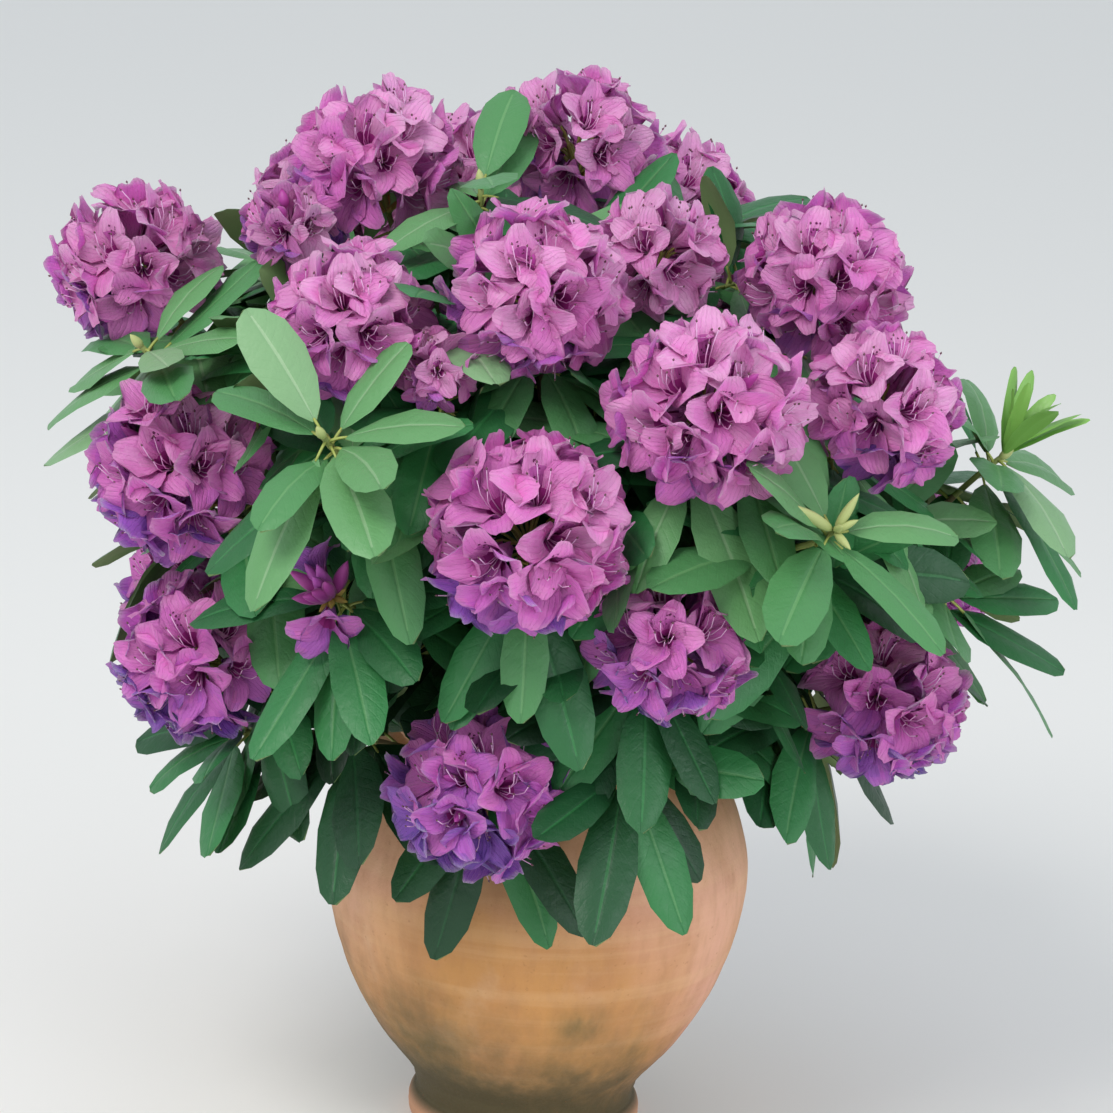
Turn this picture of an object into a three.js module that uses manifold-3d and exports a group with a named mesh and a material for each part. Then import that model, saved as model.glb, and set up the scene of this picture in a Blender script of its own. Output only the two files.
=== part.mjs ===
// A rhododendron in flower in a terracotta jar, in millimetres, +Z up.
// The origin is the centre of the jar's flat underside, and -Y is the side that faces the viewer.
// The jar and its soil are turned forms. A short trunk stands on the soil, and one bough runs from it
// to each mass of shoots. A mass is one solid: a stem that forks into twigs, each with a whorl of
// leaves round its end and, on a flowering shoot, a ball of open flowers on top.
import * as THREE from "three";
import { mergeVertices } from "three/addons/utils/BufferGeometryUtils.js";
import Module from "manifold-3d";

const wasm = await Module();
wasm.setup();

const DEGREE = Math.PI / 180;
const CENTRE = new THREE.Vector3();
const UP = new THREE.Vector3(0, 0, 1);
const BACK = new THREE.Vector3(0, 1, 0);

// A limb whose direction is closer to upright than this is turned to face the back
const STEEP = 0.95;

// Clearance between separate pieces that touch on the real plant
const GAP = 0.3;

// How far a joined body's corners may move when its slivers are merged away
const TOLERANCES = [0.05, 0.08, 0.12, 0.18];

// The jar: half-width and height of each ring, up the outside from the foot to the rolled rim, then
// over the mouth and down the inside
const JAR = {
  facets: 28,
  floor: 14,
  outline: [
    [88, 0], [95, 8], [95, 18], [89, 28], [97, 50], [128, 90], [150, 130], [165, 175],
    [171.5, 222], [166, 258], [150, 298], [128, 324], [117, 334], [124, 342], [124, 350], [118, 356],
  ],
  mouth: [[106, 352]],
  inside: [[105, 334], [138, 298], [160, 222], [152, 170], [116, 90], [84, 50], [76, 14]],
};
const SOIL = { level: 318, rounding: 7, flat: 60, inset: 0.5 };

// The trunk, from its flat cut on the soil to its fork. A bend is a share of the lean each way and a
// height over the soil.
const TRUNK = {
  foot: 27,
  root: 19,
  fork: 13,
  top: 452,
  lean: [5, -4],
  bends: [[0.2, 0.6, 45], [0.9, 1, 90]],
  flarePower: 6,
  sides: 8,
  steps: 4,
};
const BOUGH = { root: 6.6, tip: 4.3, sides: 5, steps: 3, reach: 0.55, bow: 16 };
const STEM = { root: 4.4, tip: 4.1, sides: 4, share: 0.2 };
const TWIG = { root: 3.2, tip: 2.6, sides: 3, lap: 2.5, bare: 0.15 };

// Where the trunk stands, just clear of the soil
const GROUND = SOIL.level + GAP;

// Every shoot points away from one place low in the jar's mouth
const SPRING = new THREE.Vector3(0, 0, 300);

// A leaf's outline is a kite whose widest place lies a little beyond its middle. It arches across
// that line, and is thickest there.
const LEAF = {
  length: 106,
  width: 46,
  widest: 0.56,
  droop: 14,
  thick: 3.2,
  root: 0.4,
  sizes: [0.86, 1.12],
  sway: 22,
};

// A whorl's leaves stand an even step of a turn apart, over a span of the twig that starts some way
// back from its end, each at an angle from the shoot's axis
const WHORL = {
  truss: { leaves: 8, step: 3 / 8, back: 12, span: 14, fromAxis: [98, 116] },
  leafy: { leaves: 8, step: 3 / 8, back: 3, span: 16, fromAxis: [60, 92] },
  bud: { leaves: 8, step: 3 / 8, back: 6, span: 16, fromAxis: [80, 100] },
  older: { leaves: 3, step: 1 / 3, back: 38, span: 14, fromAxis: [84, 108] },
};

// A truss is a ball of open flowers. Radii are shares of its own, and the mouth is a flower's
// half-width as an angle seen from the ball's centre.
const TRUSS = {
  diameter: 150,
  throat: 0.62,
  dip: 0.74,
  mouth: 27,
  seat: 38,
  least: 0.45,
  shrink: 0.05,
};
const BUD = { length: 30, radius: 5.5, count: 6, widest: 0.62, sunk: 3, sides: 5, tilts: [5, 34] };
const AT_THROAT = 5 * DEGREE;
const AT_RIM = 30 * DEGREE;

// How many times a leaf looks for room, and where the run of chance numbers starts
const TRIES = 9;
const SEED = 733;

// A shoot is [kind, turn, out, up, diameter]: degrees round the jar from the front towards the
// right, then its distance from the jar's axis and its height.
const MASSES = [
  { name: "lower_front", leaves: 366, shoots: [["truss", -11, 250, 365, 135], ["leafy", -44, 220, 375]] },
  { name: "lower_front_right", leaves: 378, shoots: [["truss", 18, 280, 495, 125], ["leafy", 15, 245, 385]] },
  { name: "lower_right", leaves: 368, shoots: [["truss", 63, 285, 420, 140]] },
  { name: "lower_left", leaves: 370, shoots: [["truss", -64, 300, 420, 140], ["leafy", -72, 260, 345]] },
  { name: "front", leaves: 396, shoots: [["truss", -4, 305, 580, 160], ["bud", -35, 300, 515, 70]] },
  { name: "right", leaves: 400, shoots: [["leafy", 80, 345, 600], ["leafy", 67, 330, 505]] },
  { name: "left", leaves: 398, shoots: [["truss", -66, 315, 565, 150]] },
  { name: "front_right", leaves: 410, shoots: [["truss", 21, 285, 670, 150], ["leafy", 36, 340, 590]] },
  {
    name: "front_left",
    leaves: 414,
    shoots: [["truss", -39, 255, 705, 130], ["truss", -22, 260, 690, 90], ["leafy", -31, 335, 640]],
  },
  { name: "upper_left", leaves: 424, shoots: [["truss", -87, 340, 700, 140], ["leafy", -70, 345, 660]] },
  { name: "upper_right", leaves: 420, shoots: [["truss", 64, 210, 735, 140], ["truss", 51, 300, 660, 130]] },
  { name: "upper_front", leaves: 432, shoots: [["truss", -7, 205, 735, 140]] },
  {
    name: "top_left",
    leaves: 438,
    shoots: [["truss", -94, 160, 785, 140], ["truss", -75, 230, 750, 100], ["leafy", -63, 85, 785]],
  },
  {
    name: "top_right",
    leaves: 442,
    shoots: [["truss", -177, 60, 800, 135], ["truss", 30, 125, 750, 110], ["leafy", 124, 110, 745]],
  },
];

// The side away from the viewer: rings of shoots at an even turn apart. The crown falls to the
// right, so each ring is lower by its fall for every millimetre that way.
const BACK_RINGS = [
  { name: "back_low", up: 398, out: 290, fall: 0.08, first: 100, step: 40, count: 5, leafy: 2, leaves: 374 },
  { name: "back_mid", up: 524, out: 324, fall: 0.12, first: 108, step: 35, count: 5, leafy: 4, leaves: 404 },
  { name: "back_upper", up: 642, out: 285, fall: 0.2, first: 122, step: 34, count: 4, leafy: 5, leaves: 428 },
  { name: "back_top", up: 735, out: 195, fall: 0.2, first: 110, step: 48, count: 3, leafy: 5, leaves: 446 },
];
const BACK_SHOOT = { diameter: 142, swayUp: 8, swayOut: 5, swayDiameter: 5, leavesApart: 3 };

const COLOURS = {
  terracotta: { color: 0xc98a5e, roughness: 0.85 },
  soil: { color: 0x35261b, roughness: 1 },
  bark: { color: 0x5b4a38, roughness: 0.9 },
  foliage: { color: 0x7d8a4f, roughness: 0.7 },
};

// The same run of numbers from 0 to 1 for the same seed
function seeded(seed) {
  let state = seed >>> 0;
  return () => {
    state = (state + 0x6d2b79f5) >>> 0;
    let t = state;
    t = Math.imul(t ^ (t >>> 15), t | 1);
    t ^= t + Math.imul(t ^ (t >>> 7), t | 61);
    return ((t ^ (t >>> 14)) >>> 0) / 4294967296;
  };
}

function around(turn, out, up) {
  return new THREE.Vector3(out * Math.sin(turn * DEGREE), -out * Math.cos(turn * DEGREE), up);
}

// A closed geometry as a solid that can be joined and cut, with its faces turned outwards
function solidOf(geometry, nearness = 1e-4) {
  const bare = geometry.clone();
  bare.deleteAttribute("normal");
  bare.deleteAttribute("uv");
  const merged = mergeVertices(bare, nearness);
  const vertProperties = new Float32Array(merged.attributes.position.array);
  const triVerts = new Uint32Array(merged.index.array);
  const solid = new wasm.Manifold(new wasm.Mesh({ numProp: 3, vertProperties, triVerts }));
  if (solid.volume() > 0) return solid;
  const turned = triVerts.map((corner, i) => triVerts[i - (i % 3) + ((3 - (i % 3)) % 3)]);
  return new wasm.Manifold(new wasm.Mesh({ numProp: 3, vertProperties, triVerts: turned }));
}

function geometryOf(solid) {
  const mesh = solid.getMesh();
  const geometry = new THREE.BufferGeometry();
  geometry.setAttribute("position", new THREE.BufferAttribute(new Float32Array(mesh.vertProperties), 3));
  geometry.setIndex(new THREE.BufferAttribute(new Uint32Array(mesh.triVerts), 1));
  geometry.computeVertexNormals();
  return geometry;
}

function largestBody(solid) {
  const bodies = solid.decompose().filter((body) => body.volume() > 0);
  bodies.sort((a, b) => b.volume() - a.volume());
  return bodies[0];
}

// Whether every edge has exactly two faces once points a micrometre apart are merged and rounded
function staysClosed(solid) {
  const { vertProperties, triVerts } = solidOf(geometryOf(solid), 1e-3).getMesh();
  const uses = new Map();
  const place = (corner) => {
    const xyz = vertProperties.subarray(corner * 3, corner * 3 + 3);
    return Array.from(xyz, (value) => Math.round(value * 10000)).join();
  };
  for (let i = 0; i < triVerts.length; i += 3) {
    const corners = [0, 1, 2].map((k) => place(triVerts[i + k]));
    if (new Set(corners).size < 3) continue;
    corners.forEach((from, k) => {
      const edge = [from, corners[(k + 1) % 3]].sort().join(" ");
      uses.set(edge, (uses.get(edge) ?? 0) + 1);
    });
  }
  return [...uses.values()].every((count) => count === 2);
}

// Joins solids into one body: loose scraps are dropped and sealed hollows are filled. Slivers and near
// points are merged away, with a little more tolerance until the body stays closed, or else without
// one of the last solids.
function fuse(solids) {
  const joined = wasm.Manifold.union(solids);
  for (const tolerance of TOLERANCES) {
    const body = largestBody(solidOf(geometryOf(largestBody(joined.simplify(tolerance))), tolerance / 10));
    if (staysClosed(body)) return body;
  }
  return fuse(solids.slice(0, -1));
}

// A round limb along a curve: a closed cylinder whose rings are moved onto the curve and narrowed
function limb(curve, rootRadius, tipRadius, sides, steps, flare = 0) {
  const geometry = new THREE.CylinderGeometry(1, 1, 1, sides, steps);
  const position = geometry.attributes.position;
  const point = new THREE.Vector3();
  const across = new THREE.Vector3();
  const frame = new THREE.Matrix4();
  for (let i = 0; i < position.count; i += 1) {
    point.fromBufferAttribute(position, i);
    const along = point.y + 0.5;
    const tangent = curve.getTangent(along);
    const spread = flare * Math.pow(1 - along, TRUNK.flarePower);
    const radius = THREE.MathUtils.lerp(rootRadius, tipRadius, along) + spread;
    const facing = Math.abs(tangent.z) > STEEP ? BACK : UP;
    frame.lookAt(CENTRE, tangent.negate(), facing);
    across.set(-point.x, point.z, 0).multiplyScalar(radius).applyMatrix4(frame);
    across.add(curve.getPoint(along));
    position.setXYZ(i, across.x, across.y, across.z);
  }
  return solidOf(geometry);
}

// A closed double fan: a ring of points joined to one point above and one below
function fan(ring, top, bottom) {
  const geometry = new THREE.SphereGeometry(1, ring.length, 2);
  const position = geometry.attributes.position;
  const row = ring.length + 1;
  for (let i = 0; i < position.count; i += 1) {
    const onRing = ring[(i % row) % ring.length];
    const point = i < row ? top : i < 2 * row ? onRing : bottom;
    position.setXYZ(i, point.x, point.y, point.z);
  }
  return solidOf(geometry);
}

// A leaf as four faces: its root and tip below, the two ends of its widest line above
function leafSolid(root, axis, outward, length, width) {
  const side = new THREE.Vector3().crossVectors(axis, outward).normalize();
  const size = length / LEAF.length;
  const middle = root.clone().addScaledVector(outward, length * LEAF.widest);
  middle.z += LEAF.thick - LEAF.droop * size * LEAF.widest;
  const tip = root.clone().addScaledVector(outward, length);
  tip.z -= LEAF.droop * size;
  const near = middle.clone().addScaledVector(side, -width / 2);
  const far = middle.clone().addScaledVector(side, width / 2);
  const geometry = new THREE.TetrahedronGeometry(1, 0);
  const position = geometry.attributes.position;
  for (let i = 0; i < position.count; i += 1) {
    const corner = (position.getX(i) > 0 ? 2 : 0) + (position.getY(i) > 0 ? 1 : 0);
    const point = [root, tip, near, far][corner];
    position.setXYZ(i, point.x, point.y, point.z);
  }
  return solidOf(geometry);
}

// A truss: a throat at each corner of an icosahedron, five rim points round it, and a dip where
// three flowers meet. A point is one or the other by its angle from the nearest corner.
function trussSolid(radius, matrix) {
  const corners = new THREE.IcosahedronGeometry(1, 0).attributes.position;
  const throats = [];
  for (let i = 0; i < corners.count; i += 1) {
    throats.push(new THREE.Vector3().fromBufferAttribute(corners, i));
  }
  const geometry = new THREE.IcosahedronGeometry(1, 2);
  const toAxis = new THREE.Quaternion().setFromUnitVectors(throats[0], UP);
  const position = geometry.attributes.position;
  const point = new THREE.Vector3();
  for (let i = 0; i < position.count; i += 1) {
    point.fromBufferAttribute(position, i);
    const throat = throats.reduce((best, other) => (other.dot(point) > best.dot(point) ? other : best));
    const angle = throat.angleTo(point);
    const part = angle < AT_THROAT ? "throat" : angle < AT_RIM ? "rim" : "dip";
    if (part === "rim") {
      const mouth = TRUSS.mouth * DEGREE;
      point.addScaledVector(throat, -throat.dot(point)).setLength(Math.sin(mouth));
      point.addScaledVector(throat, Math.cos(mouth));
    }
    point.multiplyScalar(radius * (TRUSS[part] ?? 1)).applyQuaternion(toAxis);
    position.setXYZ(i, point.x, point.y, point.z);
  }
  geometry.applyMatrix4(matrix);
  return solidOf(geometry);
}

// A closed bud along an axis: a slim spindle
function budSolid(root, axis) {
  const belly = root.clone().addScaledVector(axis, BUD.length * BUD.widest);
  const ring = [];
  for (let k = 0; k < BUD.sides; k += 1) {
    const across = leaning(axis, 90 * DEGREE, (k * 360 * DEGREE) / BUD.sides);
    ring.push(belly.clone().addScaledVector(across, BUD.radius));
  }
  return fan(ring, root.clone().addScaledVector(axis, BUD.length), root);
}

// A frame at a place whose +Z runs along an axis, turned round it by an angle
function frameAlong(place, axis, turn = 0) {
  const spin = new THREE.Quaternion().setFromAxisAngle(UP, turn);
  const tilt = new THREE.Quaternion().setFromUnitVectors(UP, axis);
  return new THREE.Matrix4().compose(place, tilt.multiply(spin), new THREE.Vector3(1, 1, 1));
}

// A direction at an angle from an axis, turned round it
function leaning(axis, angle, turn) {
  const heading = new THREE.Vector3(
    Math.sin(angle) * Math.cos(turn),
    Math.sin(angle) * Math.sin(turn),
    Math.cos(angle),
  );
  return heading.applyQuaternion(new THREE.Quaternion().setFromUnitVectors(UP, axis));
}

function turned(profile) {
  const points = profile.map(([r, z]) => new THREE.Vector2(r, z));
  return new THREE.LatheGeometry(points, JAR.facets).rotateX(90 * DEGREE);
}

function jarGeometry() {
  return turned([[0, 0], ...JAR.outline, ...JAR.mouth, ...JAR.inside, [0, JAR.floor]]);
}

// Half-width of the jar's inside at a height, on its straight runs between stations
function insideAt(height) {
  const stations = [...JAR.mouth, ...JAR.inside];
  for (let i = 1; i < stations.length; i += 1) {
    const [r0, z0] = stations[i - 1];
    const [r1, z1] = stations[i];
    if (height <= z0 && height >= z1) return THREE.MathUtils.mapLinear(height, z0, z1, r0, r1);
  }
  return 0;
}

// The soil fills the jar's inside, a little clear of its wall and floor
function soilGeometry() {
  const foot = JAR.floor + GAP;
  const edge = SOIL.level - SOIL.rounding;
  const walls = JAR.inside.filter(([, z]) => z < edge).reverse();
  return turned([
    [0, foot],
    ...walls.map(([r, z]) => [r - SOIL.inset, Math.max(z, foot)]),
    [insideAt(edge) - SOIL.inset, edge],
    [SOIL.flat, SOIL.level],
    [0, SOIL.level],
  ]);
}

function trunkCurve() {
  const [leanX, leanY] = TRUNK.lean;
  return new THREE.CatmullRomCurve3([
    new THREE.Vector3(0, 0, GROUND),
    ...TRUNK.bends.map(([x, y, over]) => new THREE.Vector3(leanX * x, leanY * y, SOIL.level + over)),
    new THREE.Vector3(leanX, leanY, TRUNK.top),
  ]);
}

// The trunk, or one that is larger all round by the clearance, to cut the boughs' roots with
function trunkSolid(growth = 0) {
  const root = TRUNK.root + growth;
  const fork = TRUNK.fork + growth;
  const stem = limb(trunkCurve(), root, fork, TRUNK.sides, TRUNK.steps, TRUNK.foot - TRUNK.root);
  const cap = new THREE.SphereGeometry(fork, TRUNK.sides, TRUNK.steps);
  cap.rotateX(90 * DEGREE).translate(...TRUNK.lean, TRUNK.top);
  return fuse([stem, solidOf(cap)]).trimByPlane([0, 0, 1], GROUND);
}

function centreOf(points) {
  const sum = new THREE.Vector3();
  for (const point of points) sum.add(point);
  return sum.divideScalar(points.length);
}

// Where a shoot's twig ends and which way it points
function shootOf([kind, turn, out, up, diameter = 0]) {
  const place = around(turn, out, up);
  const axis = place.clone().sub(SPRING).normalize();
  const seat = (TRUSS.seat * diameter) / TRUSS.diameter;
  return { kind, axis, diameter, end: place.addScaledVector(axis, -seat) };
}

// A bough leaves the trunk at a height, rises in a bow and ends part way to its shoots
function boughCurve(mass) {
  const root = trunkCurve().getPoint((mass.leaves - GROUND) / (TRUNK.top - GROUND));
  const goal = centreOf(mass.shoots.map((shoot) => shoot.end));
  const tip = root.clone().lerp(goal, BOUGH.reach);
  const middle = root.clone().lerp(tip, 0.5);
  middle.z += BOUGH.bow;
  return new THREE.QuadraticBezierCurve3(root, middle, tip);
}

// The stem goes on from the bough's tip to a fork, and a straight twig runs from there to each shoot
function twigLines(mass) {
  const heading = mass.bough.getTangent(1);
  const start = mass.bough.getPoint(1).addScaledVector(heading, GAP);
  const goal = centreOf(mass.shoots.map((shoot) => shoot.end));
  const fork = start.clone().addScaledVector(heading, start.distanceTo(goal) * STEM.share);
  const inStem = fork.clone().addScaledVector(heading, -TWIG.lap);
  const twigs = mass.shoots.map((shoot) => new THREE.LineCurve3(inStem, shoot.end));
  return { stem: new THREE.LineCurve3(start, fork), twigs };
}

// The masses of a ring at the back, two shoots to a mass. Each shoot sways by -2 to 2 steps from the
// even ring, outwards, upwards and in size.
function ringMasses(ring) {
  const masses = [];
  for (let i = 0; i < ring.count; i += 1) {
    const turn = ring.first + i * ring.step;
    const sway = ((i * 3) % 5) - 2;
    const out = ring.out + sway * BACK_SHOOT.swayOut;
    const fallen = ring.up - ring.fall * ring.out * Math.sin(turn * DEGREE);
    const up = fallen + sway * BACK_SHOOT.swayUp;
    const diameter = BACK_SHOOT.diameter + sway * BACK_SHOOT.swayDiameter;
    if (i % 2 === 0) {
      const number = masses.length + 1;
      const leaves = ring.leaves + number * BACK_SHOOT.leavesApart;
      masses.push({ name: `${ring.name}_${number}`, leaves, shoots: [] });
    }
    const shoot = i === ring.leafy ? ["leafy", turn, out, up] : ["truss", turn, out, up, diameter];
    masses.at(-1).shoots.push(shootOf(shoot));
  }
  return masses;
}

// Every piece placed so far, so that a new leaf or flower can be kept clear of them
const placed = [];

function boxOf(solid) {
  const box = solid.boundingBox();
  return new THREE.Box3(new THREE.Vector3(...box.min), new THREE.Vector3(...box.max));
}

function keep(owner, solid, shoot = null) {
  placed.push({ owner, shoot, solid, box: boxOf(solid).expandByScalar(GAP * 2) });
  return solid;
}

// Whether a solid clears the other masses and the limbs. Within a mass, a leaf clears the flowers and
// the other shoots, and may cross the leaves of its own shoot.
function clears(owner, solid, shoot) {
  const box = boxOf(solid);
  for (const other of placed) {
    if (!other.box.intersectsBox(box)) continue;
    if (other.owner !== owner) {
      if (other.solid.minGap(solid, GAP * 2) < GAP * 1.5) return false;
    } else if (shoot && other.shoot !== shoot && other.solid.intersect(solid).volume() > 0) {
      return false;
    }
  }
  return true;
}

// The ball of flowers on a flowering shoot, made smaller until it has room
function openTruss(mass, shoot, random) {
  const spin = random() * 360 * DEGREE;
  for (let share = 1; share > TRUSS.least; share -= TRUSS.shrink) {
    const radius = (shoot.diameter / 2) * share;
    const centre = shoot.end.clone().addScaledVector(shoot.axis, (radius * TRUSS.seat * 2) / TRUSS.diameter);
    const truss = trussSolid(radius, frameAlong(centre, shoot.axis, spin));
    if (clears(mass.name, truss)) return [keep(mass.name, truss)];
  }
  return [];
}

// A truss that is still closed: a sheaf of buds, one upright and the others round it
function budTruss(mass, shoot, random) {
  const [upright, leant] = BUD.tilts;
  const solids = [];
  for (let k = 0; k < BUD.count; k += 1) {
    const tilt = k === 0 ? upright : leant;
    const turn = (k * 360 * DEGREE) / (BUD.count - 1) + random();
    const heading = leaning(shoot.axis, tilt * DEGREE, turn);
    const bud = budSolid(shoot.end.clone().addScaledVector(heading, -BUD.sunk), heading);
    if (clears(mass.name, bud)) solids.push(keep(mass.name, bud));
  }
  return solids;
}

// A whorl's leaves, each kept only where one of its tries finds room. They climb the twig a little
// from one to the next.
function whorlLeaves(mass, shoot, twig, rule, random) {
  const leaves = [];
  const first = random() * 360 * DEGREE;
  for (let k = 0; k < rule.leaves; k += 1) {
    const back = rule.back + (rule.span * k) / rule.leaves;
    const along = 1 - back / twig.getLength();
    for (let attempt = 0; attempt < TRIES && along > TWIG.bare; attempt += 1) {
      const turn = first + (k * rule.step * 360 + LEAF.sway * (random() - 0.5)) * DEGREE;
      const fromAxis = THREE.MathUtils.lerp(...rule.fromAxis, random()) * DEGREE;
      const outward = leaning(shoot.axis, fromAxis, turn);
      const size = THREE.MathUtils.lerp(...LEAF.sizes, random());
      const root = twig.getPoint(along).addScaledVector(outward, LEAF.root);
      const leaf = leafSolid(root, shoot.axis, outward, LEAF.length * size, LEAF.width * size);
      if (clears(mass.name, leaf, shoot)) {
        leaves.push(leaf);
        break;
      }
    }
  }
  for (const leaf of leaves) keep(mass.name, leaf, shoot);
  return leaves;
}

function material(colour) {
  return new THREE.MeshStandardMaterial({ ...colour, metalness: 0 });
}

function piece(name, solid, colour) {
  const mesh = new THREE.Mesh(geometryOf(solid), material(colour));
  mesh.name = name;
  return mesh;
}

const plant = new THREE.Group();
plant.add(piece("jar", keep("jar", solidOf(jarGeometry())), COLOURS.terracotta));
plant.add(piece("soil", keep("soil", solidOf(soilGeometry())), COLOURS.soil));
plant.add(piece("trunk", keep("trunk", trunkSolid()), COLOURS.bark));

// A bough starts on the trunk, or on an earlier bough where one is in its way
const masses = MASSES.map((mass) => ({ ...mass, shoots: mass.shoots.map(shootOf) }));
masses.push(...BACK_RINGS.flatMap(ringMasses));
const inTheWay = [trunkSolid(GAP)];
for (const mass of masses) {
  mass.bough = boughCurve(mass);
  const name = `bough_${mass.name}`;
  const whole = limb(mass.bough, BOUGH.root, BOUGH.tip, BOUGH.sides, BOUGH.steps);
  const solid = largestBody(whole.subtract(wasm.Manifold.union(inTheWay)));
  plant.add(piece(name, keep(name, fuse([solid])), COLOURS.bark));
  inTheWay.push(limb(mass.bough, BOUGH.root + GAP, BOUGH.tip + GAP, BOUGH.sides, BOUGH.steps));
}

for (const mass of masses) {
  const { stem, twigs } = twigLines(mass);
  mass.twigs = twigs;
  mass.solids = [keep(mass.name, limb(stem, STEM.root, STEM.tip, STEM.sides, 1))];
  mass.shoots.forEach((shoot, j) => {
    const twig = limb(twigs[j], TWIG.root, TWIG.tip, TWIG.sides, 1);
    mass.solids.push(keep(mass.name, twig, shoot));
  });
}

// The trusses towards the viewer are placed first, the largest before the others
const draws = masses.map((mass, i) => seeded(SEED + i));
const blooms = masses.flatMap((mass, i) => {
  const front = i < MASSES.length ? 1 : 0;
  return mass.shoots.map((shoot) => ({ mass, shoot, front, random: draws[i] }));
});
blooms.sort((a, b) => b.front - a.front || b.shoot.diameter - a.shoot.diameter);
for (const { mass, shoot, random } of blooms) {
  if (shoot.kind === "truss") mass.solids.push(...openTruss(mass, shoot, random));
  if (shoot.kind === "bud") mass.solids.push(...budTruss(mass, shoot, random));
}

// Every shoot gets its whorl of leaves before any gets the older leaves further down its twig
for (const older of [false, true]) {
  masses.forEach((mass, i) => {
    mass.shoots.forEach((shoot, j) => {
      const rule = older ? WHORL.older : WHORL[shoot.kind];
      mass.solids.push(...whorlLeaves(mass, shoot, mass.twigs[j], rule, draws[i]));
    });
  });
}

for (const mass of masses) {
  plant.add(piece(`foliage_${mass.name}`, fuse(mass.solids), COLOURS.foliage));
}

export default plant;
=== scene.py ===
"""A rhododendron in flower in a terracotta jar, in metres, +Z up, -Y towards the viewer.

The limbs, twigs and whorls grow by the same rule as the solids: one bough from the trunk to each mass,
a stem that goes on from it, and a twig to each shoot. Leaves, petals, stamens and bark are worked out
as whole numpy arrays and joined into one piece for each mass and kind.
"""

import bpy
import numpy as np
from mathutils import Matrix, Vector


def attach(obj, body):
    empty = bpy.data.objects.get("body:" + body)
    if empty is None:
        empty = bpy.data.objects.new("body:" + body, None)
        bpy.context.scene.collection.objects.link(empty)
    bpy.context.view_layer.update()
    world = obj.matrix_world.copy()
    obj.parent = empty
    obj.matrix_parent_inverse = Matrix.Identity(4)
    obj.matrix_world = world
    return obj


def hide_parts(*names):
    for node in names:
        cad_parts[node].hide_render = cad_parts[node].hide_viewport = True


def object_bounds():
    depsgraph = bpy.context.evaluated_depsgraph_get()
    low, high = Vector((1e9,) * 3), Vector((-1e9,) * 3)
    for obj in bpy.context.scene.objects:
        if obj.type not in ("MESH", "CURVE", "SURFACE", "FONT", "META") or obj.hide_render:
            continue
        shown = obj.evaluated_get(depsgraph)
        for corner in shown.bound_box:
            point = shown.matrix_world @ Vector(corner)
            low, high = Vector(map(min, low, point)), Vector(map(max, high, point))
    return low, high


MM = 0.001
TAU = 2 * np.pi
UP = np.array([0.0, 0.0, 1.0])

# What all draws of chance are seeded from, and the sine waves that a ripple adds up
SEED = 41
WAVES = 7

# The jar's outline and inside as half-width and height in millimetres, from the foot up and down into
# the mouth to its floor, and how many sides and how many steps from point to point it gets
JAR_OUTSIDE = [
    (88, 0), (92.5, 2), (95, 8), (95, 18), (92, 24), (89, 29), (97, 50), (112, 69), (128, 90), (150, 130),
    (165, 175), (171.5, 222), (166, 258), (150, 298), (128, 324), (117, 334), (121, 338), (124, 343),
    (124, 350), (118, 356), (110, 355),
]
JAR_INSIDE = [(105, 349), (105, 334), (138, 298), (160, 222), (152, 170), (116, 90), (84, 50), (76, 15)]
JAR_FLOOR = 14
JAR_SIDES = 160
JAR_STEPS = {"outside": 6, "inside": 4}

# The wheel's fine rings and cut grooves, how far it wanders, and the grooves' heights
THROWN = {
    "pitch": 5.2 * MM, "depth": 0.16 * MM, "groove": 0.9 * MM, "groove_width": 1.6 * MM,
    "drift": 0.12 * MM,
}
GROOVES = (42 * MM, 47 * MM, 151 * MM)

# A dark stain on the jar's front: its middle and half its size
STAIN = {"across": 43 * MM, "height": 141 * MM, "wide": 32 * MM, "tall": 32 * MM}

# The soil's level in the middle and at the jar's wall, how far out it is flat and how far it goes, its gap
# to the jar and the size of its lumps
SOIL = {
    "level": 318 * MM, "edge": 311 * MM, "flat": 60 * MM, "wide": 125 * MM, "inset": 0.5 * MM,
    "lump": 2.2 * MM, "sides": 120,
}

# The bark chips that lie on the soil: how many, how far out and how deep, and their lengths in
# millimetres, with the places along one and the radii there as shares of its length
CHIPS = {
    "count": 150, "spread": 118 * MM, "sunk": 5 * MM, "length": (4, 11),
    "along": np.array([-0.5, -0.2, 0.2, 0.5]), "radii": np.array([0.1, 0.24, 0.26, 0.08]),
}

# The trunk and limbs, as in the solids. They stand a small gap over the soil. A limb has a half-width
# where it starts and where it ends, and a twig bends over a share of its way at each end.
GAP = 0.3 * MM
GROUND = SOIL["level"] + GAP
TRUNK_TOP = 452 * MM
TRUNK = {"foot": 27 * MM, "root": 19 * MM, "fork": 13 * MM, "lean": (5 * MM, -4 * MM)}
TRUNK_BENDS = ((0.2, 0.6, 45 * MM), (0.9, 1.0, 90 * MM))
FLARE_POWER = 6
BOUGH = {"root": 6.6 * MM, "tip": 4.3 * MM, "reach": 0.55, "bow": 16 * MM}
STEM = {"tip": 4.1 * MM, "share": 0.2}
LIMB_STEPS = {"trunk": 40, "cap": 6, "bough": 26, "stem": 8}
LIMB_SIDES = {"trunk": 36, "bough": 14}
TWIG = {"root": 3.2 * MM, "tip": 2.3 * MM, "bend": 0.36}

# The bark's relief: the size of its knobs and furrows and their heights as shares of the limb's radius
BARK = {"knobs": 45 * MM, "knob": 0.09, "furrows": 7 * MM, "furrow": 0.07}

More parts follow.
